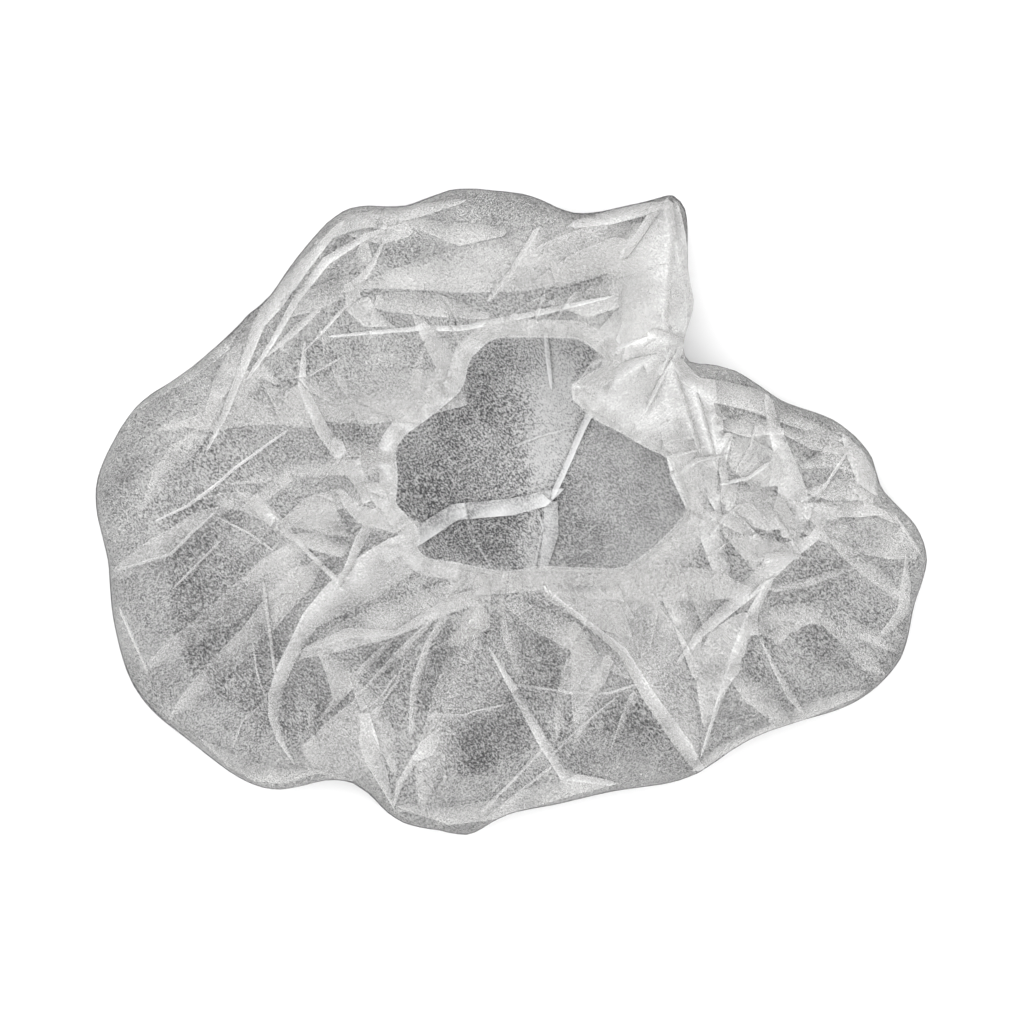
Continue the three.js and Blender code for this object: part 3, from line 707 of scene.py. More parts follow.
def copy_faces(source_layers, faces, target, target_layers, known):
    """Copies faces from one net to another; known holds the corners that they share."""
    for face in faces:
        for vert in face.verts:
            if vert not in known:
                twin = target.verts.new(vert.co)
                for name in ("station", "fade"):
                    twin[target_layers[name]] = vert[source_layers[name]]
                known[vert] = twin
        twin = target.faces.new([known[v] for v in face.verts])
        for name in ("press", "level"):
            twin[target_layers[name]] = face[source_layers[name]]


def press_fold(bm, layers, level, number, row, sizes):
    """Pleats the sheet along one row of a fold table, in a patch cut out round it."""
    press, sections = row
    sections = closed_sections(sections)
    left, right = corners_of(sections)
    low = np.minimum(left, right).min(0) - PATCH_MARGIN
    high = np.maximum(left, right).max(0) + PATCH_MARGIN
    around = []
    for face in bm.faces:
        co = face.verts[0].co
        if low[0] < co.x < high[0] and low[1] < co.y < high[1] and face[layers["level"]] == level:
            around.append(face)
    lifted = set(around)
    patch = bmesh.new()
    patch_layers = sheet_layers(patch)
    twins = {}
    copy_faces(layers, around, patch, patch_layers, twins)
    border = {twins[v]: v for v in twins if any(f not in lifted for f in v.link_faces)}
    fold_patch(patch, patch_layers, level, number, press, left, right, sizes)
    for twin, vert in border.items():
        vert.co = twin.co
    edges = in_order(e for f in around for e in f.edges)
    inner = [v for v in twins if twins[v] not in border]
    for face in around:
        bm.faces.remove(face)
    for edge in edges:
        if not edge.link_faces:
            bm.edges.remove(edge)
    for vert in inner:
        bm.verts.remove(vert)
    copy_faces(patch_layers, patch.faces, bm, layers, border)
    patch.free()


def fold_patch(patch, layers, level, number, press, left, right, sizes):
    """Cuts a patch along the edges of a fold's plies and turns them over."""
    faces = list(patch.faces)
    moves = {}
    marks = {}
    gap = sizes.ply_gap * (1 + 0.7 * math.modf(number * 0.618)[0])
    for k in range(len(left) - 1):
        a, b, c, d = left[k], right[k], right[k + 1], left[k + 1]
        width = max(np.linalg.norm(b - a), np.linalg.norm(c - d))
        if width < 1e-6:
            continue
        edge = min(sizes.pressed_edge / (3 * width), 1 / 9)
        shares = [0, 1 / 3, 2 / 3, 1]
        lined = width > WIDE_FOLD and press > LINED_PRESS
        if lined:
            shares += [1 / 3 + edge, 2 / 3 + edge]
        for share in shares:
            cut_along(patch, faces, a + (b - a) * share, d + (c - d) * share)
        cut_along(patch, faces, a, b)
        cut_along(patch, faces, d, c)
        verts = in_order(v for f in faces for v in f.verts)
        along, across = across_quad(np.array([v.co.xy[:] for v in verts]), a, b, c, d)
        for n in np.nonzero(along > -0.5)[0]:
            share = float(np.clip(across[n], 0, 1))
            t = float(np.clip(along[n], 0, 1))
            near_side, far_side = a + (d - a) * t, b + (c - b) * t
            place = near_side + (far_side - near_side) * turned_over(share)
            taper = min(np.linalg.norm(far_side - near_side) / TAPER_WIDTH, 1)
            up = gap * taper * float(ply_height(share))
            moves[verts[n]] = (place[0], place[1], up)
            verts[n][layers["fade"]] = 0.35 + 0.9 * float(turned_over(share))
        middles = np.array([f.calc_center_median().xy[:] for f in faces])
        along, across = across_quad(middles, a, b, c, d)
        for n in np.nonzero((along > 0) & (along < 1) & (across > 0) & (across < 1))[0]:
            ply = int(across[n] * 3)
            on_line = ply > 0 and across[n] - ply / 3 < edge
            marks[faces[n]] = lined and on_line
    for vert, (x, y, up) in moves.items():
        inside = (RIM_STATION - vert[layers["station"]]) / FREE_SPAN
        free = 1 if level == CROWN_LEVEL else clamped(inside)
        vert.co = vert.co.lerp(Vector((x, y, vert.co.z + up)), free)
    for face, line in marks.items():
        pressed = max(press, LINE_PRESS) if line else press
        face[layers["press"]] = max(face[layers["press"]], pressed)


def hem_gathers(form, sizes, pick):
    """Small folds drawn up along the hem, in the columns of the fold tables."""
    rows = []
    for n in range(sizes.gathers):
        ray = int((n + pick.uniform(-0.3, 0.3)) * len(form.rays) / sizes.gathers) % len(form.rays)
        width = pick.uniform(0.8, 2.6)
        rows.append(crease(form, ray, -3 * MM, pick.uniform(9, 30), width, 0.5, pick))
    return rows


def crease(form, ray, start, length, width, turn, pick):
    """One straight or slightly bent fold that starts on a ray, as a row of the fold tables."""
    edge = Vector(form.hem[ray])
    out = (Vector(form.rim[ray]) - edge).normalized()
    spin = pick.uniform(-turn, turn)
    way = Vector((out.x - spin * out.y, out.y + spin * out.x)).normalized()
    side = Vector((-way.y, way.x)) * pick.uniform(-0.1, 0.1) * length
    first = (edge + out * start) / MM
    bend = first + way * length * 0.45 + side
    last = first + way * length
    press = pick.uniform(0, 0.12)
    return press, [(*first, width), (*bend, width * 0.8), (*last, 0.0)]


def small_creases(form, sizes, pick):
    """Fine creases and soft folds strewn over the side, in the columns of the fold tables."""
    rows = []
    for n in range(sizes.creases):
        ray = pick.randrange(len(form.rays))
        span = (form.rim[ray] - form.hem[ray]) @ (form.rim[ray] - form.hem[ray])
        start = math.sqrt(span) * pick.uniform(0.1, 0.7)
        length = pick.uniform(8, 26)
        width = pick.uniform(0.6, 1.3) if n % 4 else pick.uniform(3, 7)
        rows.append(crease(form, ray, start, length, width, 1.8, pick))
    return rows


def lay_grid(bm, layers, level, across, along, place_of):
    """A grid closed round the cap, its corners placed by ray and station."""
    before = set(bm.verts)
    bmesh.ops.create_grid(bm, x_segments=across, y_segments=along, size=1)
    verts = [v for v in bm.verts if v not in before]
    for vert in verts:
        ray = round((vert.co.x + 1) / 2 * across) % across
        row = round((vert.co.y + 1) / 2 * along)
        (x, y), station = place_of(ray, row)
        vert.co = (x, y, 0)
        vert[layers["station"]] = station
        vert[layers["fade"]] = 1
    for face in {f for v in verts for f in v.link_faces}:
        face[layers["level"]] = level
    bmesh.ops.remove_doubles(bm, verts=verts, dist=1e-6)




def make_cloth(form, sizes):
    """The whole sheet: pleated side, roll under the outline, and crown."""
    bm = bmesh.new()
    layers = sheet_layers(bm)
    rays = len(form.rays)
    top_rows = len(form.STATIONS) - 1
    roll_length = 1.35 * sizes.undercut

    def side_place(ray, row):
        if row <= top_rows:
            return form.plan(ray, form.STATIONS[row]), form.STATIONS[row]
        share = ROLL_SHARES[row - top_rows - 1]
        reach = np.linalg.norm(form.rim[ray])
        return form.rim[ray] * (1 + share * roll_length / reach), 1 + share

    def crown_place(ray, row):
        reach = np.linalg.norm(form.rim[ray])
        share = 1 - row / CROWN_ROWS
        return form.rim[ray] * (1 - sizes.undercut / reach) * share, 2

    lay_grid(bm, layers, SIDE_LEVEL, rays, top_rows + len(ROLL_SHARES), side_place)
    lay_grid(bm, layers, CROWN_LEVEL, rays, CROWN_ROWS, crown_place)
    pick = random.Random(sizes.seed)
    strewn = small_creases(form, sizes, pick) + hem_gathers(form, sizes, pick)
    rows = [(SIDE_LEVEL, row) for row in SIDE_FOLDS + strewn]
    rows += [(CROWN_LEVEL, row) for row in CROWN_FOLDS]
    for number, (level, row) in enumerate(rows):
        press_fold(bm, layers, level, number, row, sizes)
    long_edges = [e for e in bm.edges if e.calc_length() > sizes.cell]
    bmesh.ops.subdivide_edges(bm, edges=long_edges, cuts=1)
    bmesh.ops.triangulate(bm, faces=bm.faces[:])
    for name in ("crown", "shade", "grain", "contrast", "fullness"):
        layers[name] = bm.verts.layers.float.new(name)
    lift_cloth(bm, layers, form, sizes)
    bmesh.ops.remove_doubles(
        bm, verts=[v for v in bm.verts if v.co.z < 1 * MM and v.is_boundary], dist=0.02 * MM
    )
    return bm


def web_density(places):
    """How much the patches of the web add at each place."""
    total = np.zeros(len(places))
    for x, y, length, width, turn, density in WEB_PATCHES:
        out = places[:, :2] / MM - (x, y)
        cosine, sine = math.cos(math.radians(turn)), math.sin(math.radians(turn))
        along = (out[:, 0] * cosine + out[:, 1] * sine) / length
        across = (out[:, 1] * cosine - out[:, 0] * sine) / width
        total += density * np.clip(2 - 2 * np.hypot(along, across), 0, 1)
    return total.tolist()


def patchiness(x, y, pattern, size):
    """A share from about -1 to 1 that changes over patches of a size; pattern picks one of many."""
    return noise.noise(Vector((x, y, pattern)) / size)


def grain_at(x, y):
    """Which of the two ways the fibres run at a place: above 0.5 the one, below it the other."""
    return 0.5 + 2 * patchiness(x, y, 0.3, GRAIN_PATCH)


def thinning_at(x, y):
    """How far the web is thinned at the bearing of a place."""
    return np.interp(math.degrees(math.atan2(y, x)) % 360, *WEB_THINNING, period=360)


def lay_crown(form, sizes, x, y, reach, look):
    """The height of the crown at a place; its web is fuller along the ridge in the opening."""
    covered = form.covered(x, y)
    seen = 1 - covered
    # The ridge runs up from x 9 mm, leaning over until y is 20 mm, and widens all the way.
    width = 8 * MM + 0.35 * max(y, 0)
    near_ridge = max(1 - abs(x - 9 * MM - 0.3 * min(max(y, 0), 20 * MM)) / width, 0)
    past_ridge = clamped((x - 13 * MM - 0.45 * y) / (6 * MM))
    look["grain"] = 1
    look["contrast"] = 1.6 - seen * (0.45 + 0.5 * past_ridge)
    look["fullness"] += seen * (0.3 * near_ridge + 0.14 * past_ridge - 0.12)
    look["fullness"] -= CROWN_THINNING * covered * thinning_at(x, y)
    look["crown"] = 1
    flat = math.hypot(x, y) / max(reach - sizes.undercut, 1e-6)
    fade = max(1 - flat**4, 0)
    dented = sizes.crumple * (0.6 + 0.5 * dents(x * 1.3, y * 1.3))
    return max(CROWN_HEIGHT + fade * dented, LOWEST)


def tuck_roll(form, sizes, x, y, reach, share, look):
    """Where the roll under the outline lies, at a share of the way round it to the crown."""
    angle = (1 - share) * math.pi / 2
    radius = reach - sizes.undercut * (1 - math.sin(angle))
    low = CROWN_HEIGHT + (form.rim_height - CROWN_HEIGHT) * (1 - math.cos(angle))
    outer = max(1 - share / 0.5, 0)
    look["contrast"] *= 1 - 0.65 * outer
    look["fullness"] += 0.1 * outer
    look["crown"] = 1
    # Painted shade on the roll just under the outline.
    look["shade"] = clamped((ROLL_SHADE - share) / ROLL_SHADE_EDGE)
    length = math.hypot(x, y)
    return x / length * radius, y / length * radius, low


def turn_rim(form, x, y, reach, look):
    """Where the outline lies, a bevel's width in from the solid's."""
    bevel = 1 - RIM_BEVEL / reach
    look["crown"] = 1
    # Painted shade along the outline.
    look["shade"] = 0.9
    return x * bevel, y * bevel, form.rim_height


def drop_side(form, x, y, up, reach, station, look):
    """Where the side lies on its carrier; its painted shade ends inwards and weakens upwards."""
    inner = min(1, (reach - 0.2 * MM) / math.hypot(x, y))
    height = form.height(x * inner, y * inner) + up
    inner *= 1 - RIM_BEVEL / reach * clamped(station) ** 8
    look["fullness"] -= SIDE_THINNING * thinning_at(x, y)
    inside = (1 - station) * SIDE_SPAN / SHADE_WIDTH
    above = (height - form.rim_height) / SHADE_HEIGHT
    look["shade"] = clamped(1.2 - inside) * max(min(1.2 - above, 1), 0.5)
    return x * inner, y * inner, height


def lift_cloth(bm, layers, form, sizes):
    """Raises the flat, pleated sheet onto the form, and tucks the crown under it."""
    crown_verts = {v for f in bm.faces if f[layers["level"]] == CROWN_LEVEL for v in f.verts}
    places = np.array([v.co[:] for v in bm.verts])
    reaches = form.reach(np.arctan2(places[:, 1], places[:, 0]) % (2 * math.pi)).tolist()
    for vert, reach, dense in zip(bm.verts, reaches, web_density(places)):
        x, y, up = vert.co
        station = vert[layers["station"]]
        fine, broad = (patchiness(x, y, 0.1, size) for size in (7 * MM, 19 * MM))
        look = {"grain": grain_at(x, y), "fullness": 0.16 * fine + 0.2 * broad + dense}
        look["contrast"] = 1.1 + 0.6 * patchiness(x, y, 0.7, CONTRAST_PATCH)
        vert[layers["fade"]] *= max(1 + 0.7 * patchiness(x, y, 0.1, COVER_PATCH) + 0.8 * dense, 0)
        if vert in crown_verts:
            vert.co.z = lay_crown(form, sizes, x, y, reach, look) + 2 * up
        elif station > 1:
            vert.co = tuck_roll(form, sizes, x, y, reach, station - 1, look)
        elif station > 0.999:
            vert.co = turn_rim(form, x, y, reach, look)
        else:
            vert.co = drop_side(form, x, y, up, reach, station, look)
        for name, value in look.items():
            vert[layers[name]] = value


def finished_mesh(name, bm, sharp=50):
    """An object at the origin from a bmesh, smooth except along its folded edges."""
    mesh = bpy.data.meshes.new(name)
    bm.to_mesh(mesh)
    bm.free()
    mesh.shade_smooth()
    mesh.set_sharp_from_angle(angle=math.radians(sharp))
    piece = bpy.data.objects.new(name, mesh)
    bpy.context.scene.collection.objects.link(piece)
    return piece


def link(tree, source, target):
    """Joins an output to an input."""
    tree.links.new(source, target)


def new_material(name):
    """A material with its node tree and its shader."""
    material = bpy.data.materials.new(name)
    material.use_nodes = True
    tree = material.node_tree
    return material, tree, tree.nodes["Principled BSDF"]


def math_node(tree, operation, first, second=0.0, clamp=False):
    """The result of a sum; each side is a number or another node's output."""
    node = tree.nodes.new("ShaderNodeMath")
    node.operation = operation
    node.use_clamp = clamp
    for socket, value in zip(node.inputs, (first, second)):
        if isinstance(value, bpy.types.NodeSocket):
            tree.links.new(value, socket)
        else:
            socket.default_value = value
    return node.outputs[0]


def plus(tree, first, second, clamp=False):
    return math_node(tree, "ADD", first, second, clamp)


def minus(tree, first, second, clamp=False):
    return math_node(tree, "SUBTRACT", first, second, clamp)


def times(tree, first, second, clamp=False):
    return math_node(tree, "MULTIPLY", first, second, clamp)


def mix_colour(tree, factor, first, second):
    """The first colour where the factor is 0, and the second where it is 1."""
    node = tree.nodes.new("ShaderNodeMix")
    node.data_type = "RGBA"
    for name, value in (("Factor_Float", factor), ("A_Color", first), ("B_Color", second)):
        socket = next(s for s in node.inputs if s.identifier == name)
        if isinstance(value, bpy.types.NodeSocket):
            tree.links.new(value, socket)
        elif name == "Factor_Float":
            socket.default_value = value
        else:
            socket.default_value = (*value, 1)
    return next(s for s in node.outputs if s.identifier == "Result_Color")


def ramp(tree, value, low, high):
    """A value spread so that low becomes 0 and high becomes 1."""
    node = tree.nodes.new("ShaderNodeMapRange")
    node.interpolation_type = "SMOOTHSTEP"
    tree.links.new(value, node.inputs["Value"])
    node.inputs["From Min"].default_value = low
    node.inputs["From Max"].default_value = high
    return node.outputs["Result"]


def fibre_web():
    """The web of melted fibres: blotches of more and fewer fibres, and single curly strands."""
    known = bpy.data.node_groups.get("Fibre web")
    if known:
        return known
    tree = bpy.data.node_groups.new("Fibre web", "ShaderNodeTree")
    face = tree.interface
    face.new_socket("Vector", in_out="INPUT", socket_type="NodeSocketVector")
    for name, value in (("Grain", 0.0), ("Fibre Scale", 800.0), ("Strand Scale", 280.0)):
        socket = face.new_socket(name, in_out="INPUT", socket_type="NodeSocketFloat")
        socket.default_value = value
    for name in ("Mottle", "Strands", "Bonds"):
        face.new_socket(name, in_out="OUTPUT", socket_type="NodeSocketFloat")
    given = tree.nodes.new("NodeGroupInput")
    made = tree.nodes.new("NodeGroupOutput")

    def stretched(turn, length):
        mapping = tree.nodes.new("ShaderNodeMapping")
        mapping.vector_type = "TEXTURE"
        mapping.inputs["Rotation"].default_value = (0, 0, math.radians(turn))
        mapping.inputs["Scale"].default_value = (length, 1, 2.5)
        link(tree, given.outputs["Vector"], mapping.inputs["Vector"])
        return mapping.outputs[0]

    def web(vector, scale_name, detail):
        node = tree.nodes.new("ShaderNodeTexNoise")
        link(tree, vector, node.inputs["Vector"])
        link(tree, given.outputs[scale_name], node.inputs["Scale"])
        node.inputs["Detail"].default_value = detail
        node.inputs["Roughness"].default_value = 0.6
        return node.outputs["Fac"]

    chosen = tree.nodes.new("ShaderNodeMix")
    chosen.data_type = "VECTOR"
    link(tree, math_node(tree, "GREATER_THAN", given.outputs["Grain"], 0.5), chosen.inputs["Factor"])
    for identifier, vector in (("A_Vector", stretched(48, 1.5)), ("B_Vector", stretched(-50, 2.0))):
        link(tree, vector, next(i for i in chosen.inputs if i.identifier == identifier))
    along = next(o for o in chosen.outputs if o.identifier == "Result_Vector")
    link(tree, web(along, "Fibre Scale", 1.0), made.inputs["Mottle"])
    curls = web(stretched(10, 1.5), "Strand Scale", 1.0)
    ridge = math_node(tree, "ABSOLUTE", minus(tree, curls, 0.5))
    strands = minus(tree, 1.0, times(tree, ridge, STRAND_SHARPNESS), clamp=True)
    link(tree, strands, made.inputs["Strands"])
    scaled = tree.nodes.new("ShaderNodeVectorMath")
    scaled.operation = "SCALE"
    link(tree, given.outputs["Vector"], scaled.inputs[0])
    link(tree, times(tree, given.outputs["Fibre Scale"], BOND_RATE), scaled.inputs["Scale"])
    waves = tree.nodes.new("ShaderNodeVectorMath")
    waves.operation = "SINE"
    link(tree, scaled.outputs[0], waves.inputs[0])
    axes = tree.nodes.new("ShaderNodeSeparateXYZ")
    link(tree, waves.outputs[0], axes.inputs[0])
    link(tree, times(tree, axes.outputs["X"], axes.outputs["Y"]), made.inputs["Bonds"])
    return tree


def bump(tree, height, strength, distance):
    """A normal that a height bends, without moving the surface."""
    node = tree.nodes.new("ShaderNodeBump")
    node.inputs["Strength"].default_value = strength
    node.inputs["Distance"].default_value = distance
    link(tree, height, node.inputs["Height"])
    return node.outputs["Normal"]


def attribute(tree, name):
    """What a layer of the mesh holds."""
    node = tree.nodes.new("ShaderNodeAttribute")
    node.attribute_name = name
    return node.outputs["Fac"]


def placed_web(tree, fibre_size):
    """The fibre web on the piece's own coordinates."""
    place = tree.nodes.new("ShaderNodeTexCoord").outputs["Object"]
    web = tree.nodes.new("ShaderNodeGroup")
    web.node_tree = fibre_web()
    link(tree, place, web.inputs["Vector"])
    web.inputs["Fibre Scale"].default_value = 1 / fibre_size
    return web


def dappled(tree, colour, spread, press):
    """A colour that is darker where the web is thin, least of all where it is pressed."""
    loose = minus(tree, 0.5, press, clamp=True)
    thin = times(tree, minus(tree, 1.0, spread), loose)
    return mix_colour(tree, thin, colour, THIN_COLOUR)


def cloth_material(name, colours):
    """Sheer cloth that is see-through between its fibres, and closed and grey at the crown."""
    material, tree, shader = new_material(name)
    shader.inputs["Specular IOR Level"].default_value = 0.25
    web = placed_web(tree, colours.fibre_size)
    link(tree, attribute(tree, "grain"), web.inputs["Grain"])
    web.inputs["Strand Scale"].default_value = 1 / colours.strand_size
    mottle, strands, bonds = (web.outputs[name] for name in ("Mottle", "Strands", "Bonds"))
    fade = attribute(tree, "fade")
    press = times(tree, attribute(tree, "press"), fade)
    crown = attribute(tree, "crown")
    shade = attribute(tree, "shade")

    # How much fibre there is: the mottling about its middle, and what the layers add to it.
    spread = ramp(tree, mottle, 0.3, 0.7)
    uneven = times(tree, minus(tree, spread, 0.5), attribute(tree, "contrast"))
    uneven = plus(tree, uneven, attribute(tree, "fullness"))
    spread = plus(tree, uneven, 0.5, clamp=True)

    # The colour: grey at the crown, pale at the side, and dark with painted shade at the outline.
    grey = mix_colour(tree, spread, colours.crown_gap, colours.crown_fibre)
    grey = mix_colour(tree, times(tree, strands, 0.45), grey, colours.sheer)
    white = mix_colour(tree, press, colours.sheer, colours.pressed)
    closed = mix_colour(tree, times(tree, press, 1.6, clamp=True), grey, colours.pressed)
    body = mix_colour(tree, crown, dappled(tree, white, spread, press), closed)
    # Painted shade at the outline: the shade layer darkens the colour towards the outline colour, a
    # little less where the fibre is full.
    textured = minus(tree, 1.15, times(tree, spread, 0.55))
    painted_shade = times(tree, shade, textured, clamp=True)
    link(tree, mix_colour(tree, painted_shade, body, colours.outline), shader.inputs["Base Color"])

    # The cover: more with fibre, strands and pressing, and full at the crown and at the outline, where
    # its painted shade lies.
    cover = plus(tree, colours.cover, times(tree, spread, 0.18))
    cover = times(tree, plus(tree, cover, times(tree, strands, 0.2)), fade)
    dotted = plus(tree, 0.8, times(tree, bonds, 0.1))
    cover = plus(tree, cover, times(tree, press, dotted))
    cover = math_node(tree, "MAXIMUM", cover, crown)
    cover = math_node(tree, "MAXIMUM", cover, shade, clamp=True)
    link(tree, cover, shader.inputs["Alpha"])
    matt = plus(tree, 0.62, times(tree, spread, 0.25))
    link(tree, matt, shader.inputs["Roughness"])
    link(tree, bump(tree, bonds, 0.12, 0.1 * MM), shader.inputs["Normal"])
    return material


def hem_line(form, count):
    """Evenly spaced points along the opening's edge, each with the way out from the opening."""
    edge = np.vstack([form.hem, form.hem[:1]])
    run = np.concatenate([[0], np.cumsum(np.linalg.norm(np.diff(edge, axis=0), axis=1))])
    at = np.arange(count) * run[-1] / count
    points = smooth_ring(np.stack([np.interp(at, run, edge[:, k]) for k in (0, 1)], 1), 6)
    along = smooth_ring(np.roll(points, -1, 0) - np.roll(points, 1, 0), 12)
    along /= np.linalg.norm(along, axis=1)[:, None]
    return points, np.stack([along[:, 1], -along[:, 0]], 1), run[-1]


def ring_round_opening(form, section, count, lift_of):
    """A closed ring along the opening's edge; section rows are (outwards, up) in metres."""
    points, outwards, _ = hem_line(form, count)
    bm = bmesh.new()
    bmesh.ops.create_grid(bm, x_segments=count, y_segments=len(section), size=1)
    for vert in bm.verts:
        n = round((vert.co.x + 1) / 2 * count) % count
        out, up = section[round((vert.co.y + 1) / 2 * len(section)) % len(section)]
        x, y = points[n] + outwards[n] * out
        base_x, base_y = points[n] + outwards[n] * 3 * MM  # well on the cloth, clear of its edge
        vert.co = (x, y, form.height(base_x, base_y) + up + lift_of(n, out))
    bmesh.ops.remove_doubles(bm, verts=bm.verts, dist=1e-7)
    bmesh.ops.recalc_face_normals(bm, faces=bm.faces)
    return bm


def hem_sway(sizes, run, count):
    """The height of the hem's ruffles at each point along it."""
    ruffles = round(run / sizes.ruffle_pitch)

    def sway(n, share):
        turn = 2 * math.pi * ruffles * n / count + 1.7 * noise.noise(Vector((22 * n / count, 0.2, 0)))
        return HEM_LIFT + sizes.ruffle * math.sin(turn) * (0.35 + 0.65 * share)

    return sway


def make_hem(form, sizes):
    """The cut edge folded over: a flat, ruffled loop of cloth round the elastic."""
    count = HEM_POINTS
    sway = hem_sway(sizes, hem_line(form, count)[2], count)
    half = sizes.thickness / 2
    inner, outer = -HEM_OVERHANG, sizes.width - HEM_OVERHANG
    steps = 7
    across = [inner + (outer - inner) * k / steps for k in range(steps + 1)]
    round_edge = [0.35 if k in (0, steps) else 1 for k in range(steps + 1)]
    section = [(out, half * r) for out, r in zip(across, round_edge)]
    section += [(out, -half * r) for out, r in zip(reversed(across), reversed(round_edge))]
    share_of = {out: (out - inner) / (outer - inner) for out in across}
    bm = ring_round_opening(form, section, count, lambda n, out: sway(n, share_of[out]))
    press = bm.faces.layers.float.new("press")
    grain, contrast, fade = (bm.verts.layers.float.new(n) for n in ("grain", "contrast", "fade"))
    for face in bm.faces:
        middle = face.calc_center_median()
        bearing = math.degrees(math.atan2(middle.y, middle.x)) % 360
        gathered = np.interp(bearing, HEM_PRESS[0], HEM_PRESS[1], period=360)
        face[press] = gathered * (1 + patchiness(middle.x, middle.y, 0, HEM_PATCH))
    for vert in bm.verts:
        vert[grain] = grain_at(vert.co.x, vert.co.y)
        vert[contrast] = 1.2
        vert[fade] = 1
    return bm


def make_elastic(form, sizes):
    """The narrow elastic that lies in the fold of the hem."""
    count = ELASTIC_POINTS
    sway = hem_sway(sizes, hem_line(form, count)[2], count)
    half = sizes.elastic_width / 2
    section = [
        (half + 0.6 * MM + half * math.cos(angle), 0.25 * half * math.sin(angle))
        for angle in np.linspace(0, 2 * math.pi, 8, endpoint=False)
    ]
    return ring_round_opening(form, section, count, lambda n, out: sway(n, 0.25))


def elastic_material(colours):
    """Knitted elastic: mottled thread with small bumps in rows."""
    material, tree, shader = new_material("Knitted elastic")
    web = placed_web(tree, ELASTIC_THREAD)
    shade = ramp(tree, web.outputs["Mottle"], 0.3, 0.7)
    darker = tuple(0.75 * c for c in colours.elastic)
    link(tree, mix_colour(tree, shade, darker, colours.elastic), shader.inputs["Base Color"])
    matt = plus(tree, 0.5, times(tree, shade, 0.3))
    link(tree, matt, shader.inputs["Roughness"])
    link(tree, bump(tree, web.outputs["Bonds"], 0.4, 0.2 * MM), shader.inputs["Normal"])
    return material


class CAP_OT_hem(bpy.types.Operator):
    """Folds the hem over along the edge of the opening"""

    bl_idname = "cap.hem"
    bl_label = "Cap hem"

    def execute(self, context):
        form = Form(context.scene.cap_cloth.rays)
        piece = finished_mesh("hem_band", make_hem(form, context.scene.cap_hem))
        piece.data.materials.append(cloth_material("Folded hem", context.scene.cap_colours))
        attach(piece, "root")
        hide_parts("hem_channel")
        return {"FINISHED"}


class CAP_OT_elastic(bpy.types.Operator):
    """Lays the elastic in the fold of the hem"""

    bl_idname = "cap.elastic"
    bl_label = "Cap elastic"

    def execute(self, context):
        form = Form(context.scene.cap_cloth.rays)
        piece = finished_mesh("hem_elastic", make_elastic(form, context.scene.cap_hem))
        piece.data.materials.append(elastic_material(context.scene.cap_colours))
        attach(piece, "root")
        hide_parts("elastic_band")
        return {"FINISHED"}


class CAP_OT_cloth(bpy.types.Operator):
    """Pleats the sheet of cloth and lifts it onto the cap's form"""

    bl_idname = "cap.cloth"
    bl_label = "Cap cloth"

    def execute(self, context):
        sizes = context.scene.cap_cloth
        form = Form(sizes.rays)
        piece = finished_mesh("sheer_cap", make_cloth(form, sizes))
        piece.data.materials.append(cloth_material("Sheer cloth", context.scene.cap_colours))
        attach(piece, "root")
        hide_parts("cap_fabric")
        return {"FINISHED"}


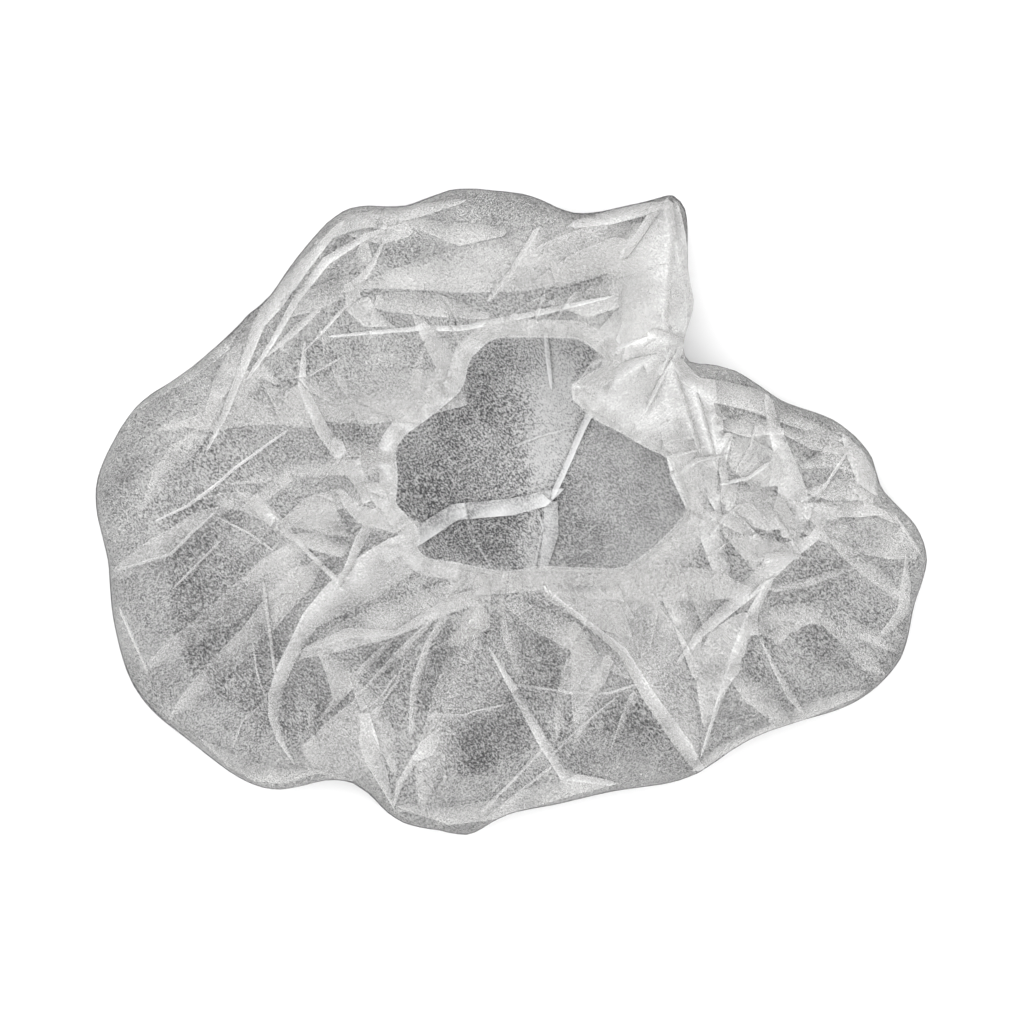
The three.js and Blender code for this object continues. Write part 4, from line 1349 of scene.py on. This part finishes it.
class CAP_OT_stage(bpy.types.Operator):
    """Sets up the camera, the pale floor and the soft light"""

    bl_idname = "cap.stage"
    bl_label = "Cap stage"

    def execute(self, context):
        settings = context.scene.cap_stage
        scene = context.scene
        bm = bmesh.new()
        bmesh.ops.create_grid(bm, x_segments=1, y_segments=1, size=6)
        bmesh.ops.translate(bm, verts=bm.verts, vec=(0, 0, -0.2 * MM))
        floor = finished_mesh("floor", bm)
        paper, _, shader = new_material("Pale floor")
        shader.inputs["Base Color"].default_value = (*settings.floor, 1)
        shader.inputs["Roughness"].default_value = 0.9
        shader.inputs["Specular IOR Level"].default_value = 0.0
        floor.data.materials.append(paper)
        camera = bpy.data.objects.new("camera", bpy.data.cameras.new("camera"))
        camera.data.lens = settings.camera_height / settings.view_width * camera.data.sensor_width
        camera.data.clip_end = 50
        camera.location = (0, 0, settings.camera_height)
        scene.collection.objects.link(camera)
        scene.camera = camera
        lamp = bpy.data.objects.new("soft_lamp", bpy.data.lights.new("soft_lamp", "AREA"))
        lamp.data.shape = "DISK"
        lamp.data.size = 1.2
        lamp.data.energy = settings.lamp
        lamp.location = (-0.7, 0.8, 1.6)
        lamp.rotation_euler = Vector(lamp.location).to_track_quat("Z", "Y").to_euler()
        scene.collection.objects.link(lamp)
        world = bpy.data.worlds.new("soft_sky")
        world.use_nodes = True
        world.node_tree.nodes["Background"].inputs["Strength"].default_value = settings.sky
        world.node_tree.nodes["Background"].inputs["Color"].default_value = (1, 1, 1, 1)
        scene.world = world
        scene.view_settings.view_transform = "Standard"
        scene.cycles.transparent_max_bounces = 40
        scene.cycles.diffuse_bounces = 2
        return {"FINISHED"}


class CAP_PT_panel(bpy.types.Panel):
    """The cap's sizes, colours and pieces"""

    bl_idname = "CAP_PT_panel"
    bl_label = "Gathered cap"
    bl_space_type = "VIEW_3D"
    bl_region_type = "UI"
    bl_category = "Cap"

    def draw(self, context):
        for name in ("cap_cloth", "cap_hem", "cap_colours", "cap_stage"):
            settings = getattr(context.scene, name)
            box = self.layout.box()
            for field in settings.bl_rna.properties:
                if field.identifier not in ("rna_type", "name"):
                    box.prop(settings, field.identifier)
        for operator in ("cap.hem", "cap.elastic", "cap.cloth", "cap.stage"):
            self.layout.operator(operator)


CLASSES = [
    CapClothSizes,
    CapHemSizes,
    CapColours,
    CapStageSettings,
    CAP_OT_hem,
    CAP_OT_elastic,
    CAP_OT_cloth,
    CAP_OT_stage,
    CAP_PT_panel,
]


def register():
    for each in CLASSES:
        bpy.utils.register_class(each)
    bpy.types.Scene.cap_cloth = PointerProperty(type=CapClothSizes)
    bpy.types.Scene.cap_hem = PointerProperty(type=CapHemSizes)
    bpy.types.Scene.cap_colours = PointerProperty(type=CapColours)
    bpy.types.Scene.cap_stage = PointerProperty(type=CapStageSettings)


def unregister():
    for name in ("cap_cloth", "cap_hem", "cap_colours", "cap_stage"):
        delattr(bpy.types.Scene, name)
    for each in reversed(CLASSES):
        bpy.utils.unregister_class(each)


def main():
    register()
    bpy.ops.cap.hem()
    bpy.ops.cap.elastic()
    bpy.ops.cap.cloth()
    bpy.ops.cap.stage()


if __name__ == "__main__":
    main()
